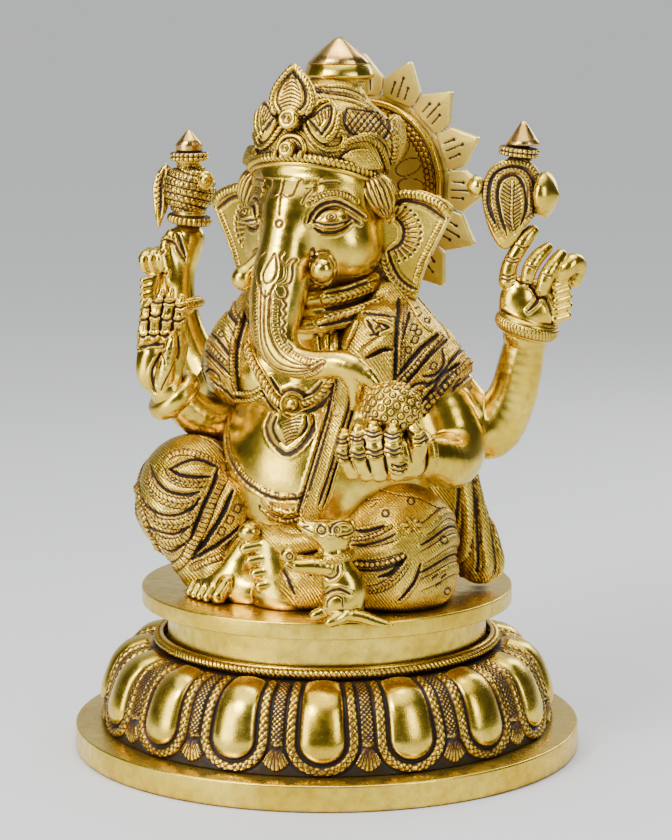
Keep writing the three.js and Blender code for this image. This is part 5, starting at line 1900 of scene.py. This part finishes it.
# ---- Right rear hand: closed on the stem of its emblem -------------------------------------------
REAR_RIGHT = (-105, 26, 251)
right_rear_form = union(
    0.9,
    union(
        2.5,
        chain(seen(REAR_RIGHT, (-0.6, -22, 0, 7.8), (-1, -10, 0, 7.6), (-0.5, 0, 0, 8), (1, 9, 0, 9.4),
            (3, 16, 0, 9.6)), 4),
        finger(REAR_RIGHT, (-6, -8, 4, 3.4), (-8, 2, 4.6, 3.4), (-9, 11, 4.4, 3.3), (-6, 18, 3.6, 3)),
    ),
    seen_limb(REAR_RIGHT, (-3, 16.5, 7), (0.6, 5, 7.6), 2.2, 1.8),
    *[
        finger(REAR_RIGHT, (u + 2.5, v + 5, -2, 2.8), (u, v + 1, 3, 3.2), (u + 0.8, v - 4.4, 2, 2.5),
            (u + 6, v - 6, -1, 2.4))
        for u, v in ((-21, 3.4), (-16.6, 4), (-12.4, 4.6))
    ],
    seen_limb(REAR_RIGHT, (-15, 1, -2), (-7, 4, -3), 6.5, 6),
    seen_limb(REAR_RIGHT, (-13, -4, -4), (-6, -14, -4), 5.5, 6),
    chain(seen(REAR_RIGHT, (-15, -6, 0, 4), (-17, -14, 0, 4.2), (-16, -22, 0, 4)), 3),
    *[
        seen_limb(REAR_RIGHT, (-16.5, v + 1.6, 2), (-21.6, v, 3), 2.1, 1.9)
        for v in (-8, -12, -16, -20, -24.4)
    ],
)
grip = Sketch(right_rear_form, REAR_RIGHT)
grip.draw("slit", 1.0, 0.8, [(-10.6, 15), (-8, 14.6), (-4, 12.4), (-1.5, 8), (2, 3)],
    [(-2, 17.5), (0.5, 10.5), (2.4, 4.5)])
grip.draw("slit", 1.0, 0.7, [(-12.2, 8.6), (-10.6, 7.6), (-9.6, 8.6)], [(-11, -3.4), (-9, -4.4), (-8, -3.4)])
Surface().add_form(right_rear_form, 0.5, relief_of(grip)).make("right_rear_hand_cast", "right_rear_hand",
    POLISHED)

# ---- Left rear hand ------------------------------------------------------------------------------
REAR_LEFT = (108, 26, 250)
left_rear_form = union(
    0.8,
    union(
        3,
        seen_ball(REAR_LEFT, (-7, -6, -1), (10.6, 13.5, 8.5), 8),
        seen_ball(REAR_LEFT, (3, -12, 0), (8.5, 9.5, 8), -6),
        seen_limb(REAR_LEFT, (-4, -14, -2), (-5, -24, -3), 10.5, 10),
        seen_limb(REAR_LEFT, (3, -2, -4), (14, 4, -4), 8, 6.5),
        seen_limb(REAR_LEFT, (11, 3, -3), (10, -14, -3), 6, 6),
    ),
    finger(REAR_LEFT, (-13.4, 4, 2, 4.7), (-12.2, 12, 3, 4.3), (-8.6, 19, 3.4, 4.1), (-4.4, 25.5, 3, 4.0),
        (-0.6, 30, 1.6, 3.6)),
    finger(REAR_LEFT, (-3.4, 4, 6.4, 3.2), (-2.2, 10, 7.2, 3.9), (2, 16.5, 5.6, 3.8), (7.2, 21.4, 3, 3.0)),
    finger(REAR_LEFT, (4.4, -0.4, 6.8, 3.4), (6.4, 6, 7.8, 4.0), (10.4, 12.4, 6, 3.9), (14.2, 17.6, 3, 3.3)),
    finger(REAR_LEFT, (13.4, 6.6, 2, 4), (17, 10.4, 4, 4.6), (21, 14, 2.4, 4.7), (24, 12, -2, 4.2),
        (22, 5, -3, 4)),
    *[
        seen_limb(REAR_LEFT, (u - 1, v - 1.6, 3.6), (u + 5.4, v + 0.6, 1.6), 2.3, 2.2)
        for u, v in ((11.6, 3.4), (12.4, -0.4), (13, -4.6), (13, -9.2), (12.4, -14.2))
    ],
)
fist = Sketch(left_rear_form, REAR_LEFT)
finger_creases = [
    [(-17, 7.6), (-14, 6.4), (-10, 7.2)],
    [(-17.2, 5.6), (-14, 4.4), (-9.8, 5.4)],
    [(-14.4, 15), (-11.6, 13.4), (-8.2, 13.8)],
    [(-13.8, 16.8), (-11, 15.2), (-7.4, 15.6)],
    [(-9, 23), (-5.6, 21.2), (-2.4, 22)],
    [(-4.2, 12.4), (-1.4, 11), (1, 11.2)],
    [(4.8, 7.8), (7, 6.4), (9.6, 6.8)],
]
fist.draw("line", 0.8, 0.5, *finger_creases)
fist.draw("slit", 1.3, 1.1, [(-8.6, 4.6), (-5.4, 2.4), (-1.4, 1.2), (1.4, -2.4), (2, -5.5), (0, -8.6),
    (-3, -11.5)])
fist.draw("slit", 1.2, 1.0, [(2.6, -4.6), (5.5, -4), (8, -9), (9.5, -13.5)])
fist.draw("slit", 1.1, 0.8, [(-18.4, -9.5), (-10, -15.5), (-1, -19.5), (8, -21.5)])
Surface().add_form(left_rear_form, 0.5, relief_of(fist)).make("left_rear_hand_cast", "left_rear_hand",
    POLISHED)

# ---- Holding hand and the sweet ball -------------------------------------------------------------
HOLDING = (72, -65, 180)
holding_form = union(
    0.8,
    union(
        3,
        seen_ball(HOLDING, (-3, -12, -2), (19, 8, 12), 4),
        seen_ball(HOLDING, (7, -6, -1), (10, 12, 12), -20),
        seen_limb(HOLDING, (6, -8, -6), (13, -6.4, -13), 9.8, 9.2),
    ),
    finger(HOLDING, (-20, -15.6, 5, 3.7), (-23.6, -7.5, 9, 3.7), (-24.6, -1, 10, 3.6), (-24.2, 4, 9, 3.1)),
    finger(HOLDING, (-13.0, -16, 7, 4.1), (-16.4, -7, 12, 4.1), (-17.4, 0, 13, 4.0), (-17.4, 6, 12, 3.5)),
    finger(HOLDING, (-6.6, -16, 8, 4.3), (-8.3, -6, 13.4, 4.3), (-9.2, 1, 14.4, 4.2), (-9.8, 7.4, 13, 3.7)),
    finger(HOLDING, (2, -15.6, 7, 4.5), (0.8, -6, 13.6, 4.6), (0.2, 1, 14, 4.4), (0, 6.6, 12.4, 3.8)),
    finger(HOLDING, (9.6, -11, 4, 4.6), (12.6, -4, 7, 4.6), (13, 2, 8, 4.2), (10.6, 7, 7.6, 3.2)),
)
knuckles = Sketch(holding_form, HOLDING)
for u, rows in ((-25, (1.5, -0.5, -6.5, -8.5)), (-17.6, (2.6, 0.8, -6, -8)), (-9.6, (4.8, 2.8, -4.6, -6.8)),
    (0, (4, 2, -3.8, -6)), (1.6, (-12, -14.4))):
    for v in rows:
        shift = max(0, -v) * 0.13
        knuckles.draw("slit", 0.9, 0.6, [(u - 3.6 + shift, v + 1.0), (u + shift, v - 0.3),
            (u + 3.6 + shift, v + 1.0)])
knuckles.draw("slit", 0.9, 0.6, [(11, 1.4), (14, 1.6), (17, 4)], [(11.4, -0.8), (14, -0.6), (17.2, 1.6)],
    [(7.4, 6.6), (8.6, 4.6), (10.6, 4)])
knuckles.draw("line", 0.9, 0.5, [(5.6, 6), (7.8, -2), (9.8, -10)])
knuckles.draw("slit", 1.0, 0.8, [(-21, 3), (-21, -6), (-17.6, -15)], [(-14, 4), (-13, -6), (-10.6, -15)],
    [(-5.4, 5), (-4.4, -5), (-2.8, -15)])
Surface().add_form(holding_form, 0.5, relief_of(knuckles)).make("holding_hand_cast", "holding_hand", POLISHED)

SWEET = np.array([71, -63, 196.0])
sweet_form = ball(SWEET, (15, 15, 14))
BEAD_COUNT = 118
GOLDEN_ANGLE = math.pi * (3 - math.sqrt(5))
bead_rows = np.arange(BEAD_COUNT) + 0.5
bead_height = 1 - 2 * bead_rows / BEAD_COUNT
bead_directions = revolved(np.sqrt(1 - bead_height**2), bead_height, bead_rows * GOLDEN_ANGLE)


def sweet_relief(points, _normals):
    """A dome at each bead, with a dark ring round it."""
    local = points - SWEET
    local /= np.linalg.norm(local, axis=1)[:, None]
    nearest = np.full(len(points), -1.0)
    for direction in bead_directions:
        nearest = np.maximum(nearest, local @ direction)
    gap = np.degrees(np.arccos(np.clip(nearest, -1, 1)))
    dome = np.sqrt(np.clip(1 - (gap / 6.4) ** 2, 0, 1))
    ring = bump_between(gap, 6.0, 8.4, 0.9)
    return 1.0 * dome - 0.5 * ring, 0.85 * ring


Surface().add_form(sweet_form, 0.4, sweet_relief).make("sweet_ball_beaded", "sweet_ball", ANTIQUE)

# ---- Collars, necklace, pendant and sash ---------------------------------------------------------
neck_form = union(6, torso_form, left_shawl_form, right_shawl_form)
collar_form = union(
    2,
    *[
        chain([(x, y, z, 4.4) for x, y, z in ring_points((0, -6, height), (0, -0.35, 1), reach, 25)], 1)
        for height, reach in ((255, 31), (244, 37))
    ],
    limb((0, -4, 240), (0, -6, 258), 34, 27),
)
collar_braids = [[(-8, 7), (2, 9), (12, 12.5), (19, 16)], [(-11, -3.5), (2, 0.5), (15.5, 5), (25.5, 10.5)]]
collar_lines = Sketch(collar_form, (30, -40, 240))
collar_lines.draw("braid", 5.8, 1.9, *collar_braids)
collar_lines.draw("slit", 1.2, 1.0, [(-8, 2.5), (5.5, 5), (19, 10.5)], [(-8, 11), (3, 13), (13, 17)])
collar_lines.draw("slit", 1.6, 1.2, [(-12, -6.4), (2, -3.6), (15.5, 1.2), (26, 7)])
collar_other = Sketch(collar_form, (-30, -40, 240), -FRONT_TURN)
collar_other.draw("braid", 5.2, 1.3, *mirrored(collar_braids))
collar_other.draw("slit", 1.4, 1.1, [(8, 2.5), (-5.5, 5), (-19, 10.5)],
    [(12, -6.4), (-2, -3.6), (-15.5, 1.2), (-26, 7)])
collar_back = Sketch(collar_form, (0, 40, 246), 180, 0)
collar_back.draw("braid", 5.2, 1.3, [(-30, 8), (-14, 11), (0, 12), (14, 11), (30, 8)],
    [(-36, -3), (-16, 0), (0, 1), (16, 0), (36, -3)])
collar = Surface().add_form(collar_form, 0.6, relief_of(collar_lines, collar_other, collar_back))
folds = Sketch(neck_form, (30, -40, 240))
for line, radius in (
    ([(-13, -9.5), (-13, -14), (-12, -20)], 1.9),
    ([(-7.5, -9), (-7.8, -14), (-7.5, -20)], 1.9),
    ([(-2, -8), (-2.6, -13), (-2.5, -19)], 1.9),
    ([(8.5, -3.5), (6, -10), (2, -18)], 1.7),
    ([(17.5, -3.5), (23.5, -5), (26, -8.5), (19, -11.5)], 1.5),
):
    draped_rope(collar, folds, line, radius, 2.6, depth=0.14)
collar.make("neck_collar_braids", "neck_collar", ANTIQUE)

chest = Sketch(neck_form, CHEST)
necklace = Surface()
for line in (
    [(-24, 2), (-19.5, -9), (-13.5, -19), (-8.5, -27), (-4.5, -31)],
    [(5.5, -31), (13, -27.5), (18.5, -21.5), (23, -15), (27, -7)],
):
    draped_rope(necklace, chest, line, 2.5, 2.9, strands=2, depth=0.38)
    for shift in (-3.2, 3.2):
        draped_rope(necklace, chest, [(u + shift * 0.3, v + shift) for u, v in line], 0.8, 2.2, depth=0.1)
for line in ([(-31, -23.5), (-25.5, -24), (-20, -23.5), (-14.5, -20.5)],
    [(-30, -27.5), (-25, -28), (-19.5, -27), (-14, -24)]):
    draped_rope(necklace, chest, line, 1.5, 2.4, strands=2, depth=0.3)
centre = chest.drop([(1, -30)])[0]
necklace.add_form(union(0.6, ball(centre + [0, -1.6, 0], (4.1, 3.2, 4.1)),
    hoop(centre + [0, -0.8, 0], view_axes(FRONT_TURN, FRONT_TILT)[2], 5.6, 1.2)), 0.45)
necklace.make("necklace_braid", "necklace", ANTIQUE)

pendant_outline = [(-9, -36), (-10.5, -41.5), (-8, -48), (-2.5, -53.5), (4, -49.5), (9, -43), (9.5, -37),
    (5, -34), (0, -36.4), (-5, -34)]
pendant_centre = chest.drop([(-0.5, -43)])[0]
pendant_form = slab((np.array(pendant_outline) + [0.5, 43]) * [1.18, 1.12], pendant_centre + [0, 0.2, -1], 22,
    -4, 2.6, 2.4, 7, 1.2, 3, 0.012)
scales = Sketch(pendant_form, CHEST)
scales.draw("slit", 1.8, 1.0, [(-7.6, -36.5), (-9.4, -42.5), (-6.6, -48.6), (-2, -53), (3.4, -48.8),
    (8, -42.5), (8.2, -36.5)])
for row in range(8):
    v = -38.4 - 1.7 * row
    scales.draw("line", 0.7, 0.4, [(-4.6 + row * 0.35, v - 1.6), (-1, v - 0.4), (2.6, v + 0.6),
        (5.4 - row * 0.5, v + 0.6)])
Surface().add_form(pendant_form, 0.45, relief_of(scales)).make("pendant_scaled", "pendant", ANTIQUE)

sash_face = union(4, torso_form, right_shawl_form)
sash_line = Sketch(sash_face, CHEST)
sash_path = sash_line.drop(curve_through([(29, -12), (28.5, -17), (25.5, -34), (20.5, -51), (15.6, -67),
    (11.4, -82), (8, -92)], 5))
sash_form = union(
    0.6, *[limb(a, b, 5.2, 5.2, ((0.25, -1, 0.1), 0.42)) for a, b in zip(sash_path[:-1], sash_path[1:])]
)
weave = Sketch(sash_form, CHEST)
weave.draw("slit", 1.4, 0.9, [(24.0, -12), (23.6, -19), (20.6, -35), (16, -52), (11, -69), (5.6, -86)],
    [(33, -12), (32.2, -18), (29.8, -33), (24.8, -49.5), (20, -66), (14.6, -82)])
Surface().add_form(sash_form, 0.5, relief_of(weave, cloth=0.2)).make("sash_woven", "sash", CLOTH)

# ---- The two emblems -----------------------------------------------------------------------------
RIGHT_EMBLEM = np.array([-100, 26, 295.0])


def milled_disc(surface, centre, axis, radius, height, teeth, layers=1):
    """A round cap whose edge is cut into teeth."""
    columns = teeth * 6
    angles = round_angles(columns)
    rows = [(0.02, -height / 2), (radius * 0.85, -height / 2)]
    for layer in range(layers):
        base = -height / 2 + height * layer / layers
        for share in (0.06, 0.2, 0.5, 0.8, 0.94):
            rows.append((radius * (0.9 + 0.1 * math.sin(math.pi * share)), base + height / layers * share))
    rows += [(radius * 0.85, height / 2), (0.02, height / 2)]
    rows = np.array(rows)
    edge = smooth_step(rows[:, 0], radius * 0.88, radius * 0.95)[:, None]
    wave = 1 + edge * (0.075 * np.abs(np.sin(angles * teeth / 2)) - 0.05)
    points = revolved(rows[:, :1] * wave, rows[:, 1:], angles).reshape(-1, 3)
    points = points @ axes_along(axis, [0.2, 1.0, 0.1]) + np.array(centre, float)
    ink = (edge * (1 - smooth_step(np.abs(np.sin(angles * teeth / 2)), 0.0, 0.45)) * 0.9).ravel()
    groove = np.repeat((rows[:, 0] < radius * 0.93) & (rows[:, 0] > radius * 0.8), columns) * 0.7
    surface.add(points, grid_quads(len(rows), columns), np.maximum(ink, groove))


right_ball_form = union(
    2,
    ball(RIGHT_EMBLEM + [0, 0, -0.5], (14.2, 14.2, 13.6)),
    turned_form([(0, -19), (8, -19), (9.5, -14), (5, 10), (8, 15), (8, 17), (0, 17)], RIGHT_EMBLEM),
)
right_ball = Surface()


def shell_relief(points, _normals):
    """Rows of ringed scales winding round the ball."""
    local = points - RIGHT_EMBLEM
    angle = np.arctan2(local[:, 1], local[:, 0])
    height = local[:, 2] + 3.2 * np.cos(angle - 0.6)
    row = height / 4.2
    band = row - np.floor(row) - 0.5
    along = angle * 14 / 3.4 + np.floor(row) * 0.5
    slot = along - np.floor(along) - 0.5
    dot = np.hypot(slot * 3.4, band * 4.2)
    near = np.abs(local[:, 2]) < 12.5
    seam = (1 - smooth_step(0.5 - np.abs(band), 0.02, 0.13)) * near
    ring = bump_between(dot, 0.9, 1.6, 0.25) * near
    return 0.9 * near * (np.sqrt(np.clip(1 - (dot / 1.9) ** 2, 0,
        1))) - 0.45 * seam, np.clip(0.85 * seam + 0.75 * ring, 0, 1)


right_ball.add_form(right_ball_form, 0.45, shell_relief)
milled_disc(right_ball, RIGHT_EMBLEM + [0, 0, -17.2], (0.12, 0, 1), 12.4, 5.0, 26)
milled_disc(right_ball, RIGHT_EMBLEM + [0, 0, 17.6], (0, 0, 1), 10.6, 4.6, 22, 2)
knob_place = seen(RIGHT_EMBLEM, (9.2, 3.2, 13.2))[0]
right_ball.add_form(union(0.3, limb(seen(RIGHT_EMBLEM, (7, 2.4, 8))[0], knob_place, 5.4, 3.2),
    seen_ball(RIGHT_EMBLEM, (9.2, 3.2, 12.4), (4.6, 5.4, 2.6), 10)), 0.5)
right_ball.make("right_emblem_scaled", "right_emblem", ANTIQUE)
right_tip = Surface().add(
    *faceted([(0.02, -1.2), (7.0, -1), (7.6, 0.4), (7.2, 1.6), (7.8, 2.6), (5.2, 6), (2.6, 9), (1.2, 10.6),
        (0.02, 11.1)], RIGHT_EMBLEM + [0, 0, 21.2], 16, 96)
)
right_tip.make("right_emblem_finial", "right_emblem", COPPERY)
blade_outline = [(-13, 14), (-17.5, 9), (-20.2, 1.5), (-20, -7), (-19, -15), (-17, -22.5), (-14.5, -16),
    (-12, -10), (-12, 0), (-9.5, 9)]
blade_form = slab(np.array(blade_outline) + [15, 3], seen(RIGHT_EMBLEM, (-15, -3, -1))[0], FRONT_TURN,
    FRONT_TILT, 2.3, 0.8, 3, 0.8, 3)
blade = Sketch(blade_form, tuple(RIGHT_EMBLEM))
blade.draw("slit", 0.9, 0.6, [(-13.6, 10), (-15.2, 2), (-15.4, -7), (-16, -16)])
for step in range(8):
    v = 9 - 3 * step
    blade.draw("line", 0.7, 0.4, [(-19.4 + abs(step - 4) * 0.5, v), (-15.6, v + 1.4)])
Surface().add_form(blade_form, 0.45, relief_of(blade)).make("right_emblem_blade", "right_emblem", ANTIQUE)

LEFT_EMBLEM = (97, 26, 300)
paisley = [(0, 17.5), (-8.5, 16), (-14.4, 10.5), (-17, 1.5), (-16, -10), (-12, -22.5), (-7, -29.5),
    (-1, -27.5), (4, -20), (10.5, -10.5), (13, 0.5), (13.4, 8), (9, 15)]
conch_form = union(
    1.2,
    slab(np.array(paisley) + [1.5, 4], seen(LEFT_EMBLEM, (-1.5, -4, 0))[0], FRONT_TURN, FRONT_TILT, 4.6, 3.4,
        9, 2.2, 3),
    seen_limb(LEFT_EMBLEM, (1.5, 12, -1), (4, 20, -2), 7.5, 5.5),
)
conch = Sketch(conch_form, LEFT_EMBLEM)
conch.draw("bars", 3.6, 0.8, [(-8.6, -22), (-14.4, -9), (-15, 1.5), (-12.4, 9.4), (-4.5, 14.6), (4, 14.4),
    (9.8, 10), (11.8, 1.5), (10.4, -9.5), (6, -16)])
conch.draw("slit", 1.5, 1.0, [(-10.5, -16), (-14, -7), (-13.5, 3.5), (-10, 10), (-2.5, 12.5), (5, 11), (9, 5),
    (10, -5), (9, -11.5)])
conch.draw("braid", 3.0, 1.0, [(-7.5, -20), (-11, -7), (-11, 2.5), (-8, 8.5), (-1.5, 11), (4.5, 8.5),
    (7.5, 1.5), (7.5, -11.5)])
conch.draw("slit", 1.4, 1.0, [(-4.5, -22.5), (-8, -11.5), (-9.5, -0.5), (-7, 6), (-1.5, 8.5), (2.5, 6),
    (5, -0.5), (5.4, -9.5), (3, -17)])
conch.draw("roll", 1.5, 0.8, [(-1.5, 6), (-2, -7), (-2.2, -13.5), (-0.5, -21)])
for step in range(12):
    v = 3.4 - 2 * step
    half = 5.2 - abs(step - 4) * 0.34
    conch.draw("line", 0.7, 0.45, [(-2.4, v - 1.6), (-2.2 - half, v + 1.2)],
        [(-1.2, v - 1.6), (-1.2 + half, v + 1.2)])
emblem = Surface().add_form(conch_form, 0.45, relief_of(conch))
milled_disc(emblem, seen(LEFT_EMBLEM, (2.6, 21.6, -2))[0], (0.12, 0, 1), 10.6, 4.6, 24, 2)
emblem.make("left_emblem_conch", "left_emblem", ANTIQUE)
left_tip = Surface().add(
    *faceted([(0.02, -1), (8.4, -0.8), (8.8, 0.4), (7.4, 2.2), (4.6, 6.6), (2.4, 9.8), (1.1, 11.6),
        (0.02, 12)], np.array(seen(LEFT_EMBLEM, (4.6, 25.6, -2))[0]), 16, 96)
)
left_tip.make("left_emblem_finial", "left_emblem", COPPERY)
emblem_side = Surface()
for start, end, radius, count in (((8, -0.6, -2), (20.5, -1.6, 3.5), 12.0, 14),
    ((-15, 3, -1), (-23.5, 3.4, 2), 5.8, 8)):
    a, b = (np.array(s) for s in seen(LEFT_EMBLEM, start, end))
    length = np.linalg.norm(b - a)
    profile = [
        (0.02, 0),
        (radius * 0.55, 0),
        (radius * 0.62, length * 0.3),
        (radius, length * 0.5),
        (radius * 1.02, length * 0.74),
        (radius * 0.6, length * 0.98),
        (radius * 0.12, length * 1.16),
        (0.02, length * 1.18),
    ]
    points, quads = faceted(profile, (0, 0, 0), count, 96)
    emblem_side.add(points @ axes_along(b - a, [0, 0, 1.0]) + a, quads)
emblem_side.make("left_emblem_knobs", "left_emblem", POLISHED)

# ---- The mouse at the front ----------------------------------------------------------------------
MOUSE = (46, -80, 115)
mouse_form = seated(
    union(
        1.4,
        union(
            4,
            seen_ball(MOUSE, (6, -12, -1), (11.4, 15.5, 11), -6),
            seen_limb(MOUSE, (2, -2, 0), (0.6, 7, 0), 8.6, 7.8),
            seen_ball(MOUSE, (1, 17, 0), (8.4, 7.8, 8)),
            finger(MOUSE, (-2, 17, 1.4, 7.8), (-9, 19.4, 2.2, 5.4), (-16, 23.2, 3, 1.6)),
        ),
        seen_ball(MOUSE, (3.6, -17, 5), (8.4, 9, 6), 12),
        finger(MOUSE, (-2, 0.6, 5, 4.6), (-10, 1.6, 7, 4.0), (-17, 1.6, 8, 3.3), (-21.6, 3.0, 8, 2.9)),
        finger(MOUSE, (-2, 2, -2, 4.2), (-10, 2.8, -1, 3.4), (-18, 4.4, 1, 2.8)),
        finger(MOUSE, (6, -22.6, 6, 4.4), (2.6, -24.6, 9, 3.4), (-1.2, -26.4, 11, 2.8)),
        finger(MOUSE, (8, -23.0, 5, 3.6), (15, -24.0, 6, 3.2), (22, -26.4, 7, 2.7), (29, -28.4, 7.6, 2.0)),
        finger(MOUSE, (-2, -21, 1, 3.4), (-6, -22.4, 3, 3.0), (-9, -23.4, 4, 2.6)),
        seen_ball(MOUSE, (5.2, 20.6, 6.2), (6.2, 4.4, 2.2), 8),
        seen_ball(MOUSE, (8, 22, -1), (4, 3.6, 1.8), -20),
    )
)
coat = Sketch(mouse_form, MOUSE)
coat.loop("slit", 0.8, 0.5, (-5.6, 20), 2.1)
coat.loop("line", 0.8, 0.4, (-5.6, 20), 0.6, 1, 8)
coat.draw("slit", 0.8, 0.5, [(-0.6, 18.4), (-0.8, 21.4), (2.2, 24), (6.6, 24.6), (10.4, 22.6), (11, 19.4),
    (8, 17.2), (3.4, 16.8)])
coat.draw("line", 0.8, 0.4, [(-16, 21.4), (-13, 20), (-10, 18.6)], [(-15.4, 24.6), (-14, 23.4)])
coat.draw("slit", 1.1, 0.8, [(-4.8, -19), (-4.8, -14), (-1, -10.6), (4, -9.8), (9, -12)])
coat.draw("line", 0.9, 0.5, [(-3, -19), (-2.4, -15.4), (1.6, -13), (5, -14.4), (5.2, -18)])
coat.draw("slit", 0.9, 0.6, [(-5, -2.8), (-1, -4.4), (2.6, -2), (3, 2)])
coat.draw("line", 0.8, 0.5, [(-20.4, 0.6), (-22.8, 2.2)], [(-19.6, 2.8), (-22, 4.4)])
coat.draw("line", 0.8, 0.5, [(-12, 21.8), (-14.6, 21.6)])
coat.loop("line", 0.7, 0.4, (2.4, 20), 1.5, 1, 8)
Surface().add_form(mouse_form, 0.42, relief_of(coat)).make("mouse_cast", "mouse_body", POLISHED)
collar_centre = seen(MOUSE, (0.8, 6.6, 0))[0]
bangle("mouse_collar_milled", "mouse_collar", collar_centre, (-0.14, -0.1, 1), 8.4, 1.9, 1.3, 34)
mouse_sweet_form = ball(seen(MOUSE, (-22, 7.4, 8.4))[0], (4.4, 4.4, 4.2))
sweet_marks = Sketch(mouse_sweet_form, MOUSE)
sweet_marks.loop("line", 0.8, 0.3, (-21.4, 6.8), 1.6)
Surface().add_form(mouse_sweet_form, 0.4, relief_of(sweet_marks)).make("mouse_sweet_cast", "mouse_sweet",
    POLISHED)
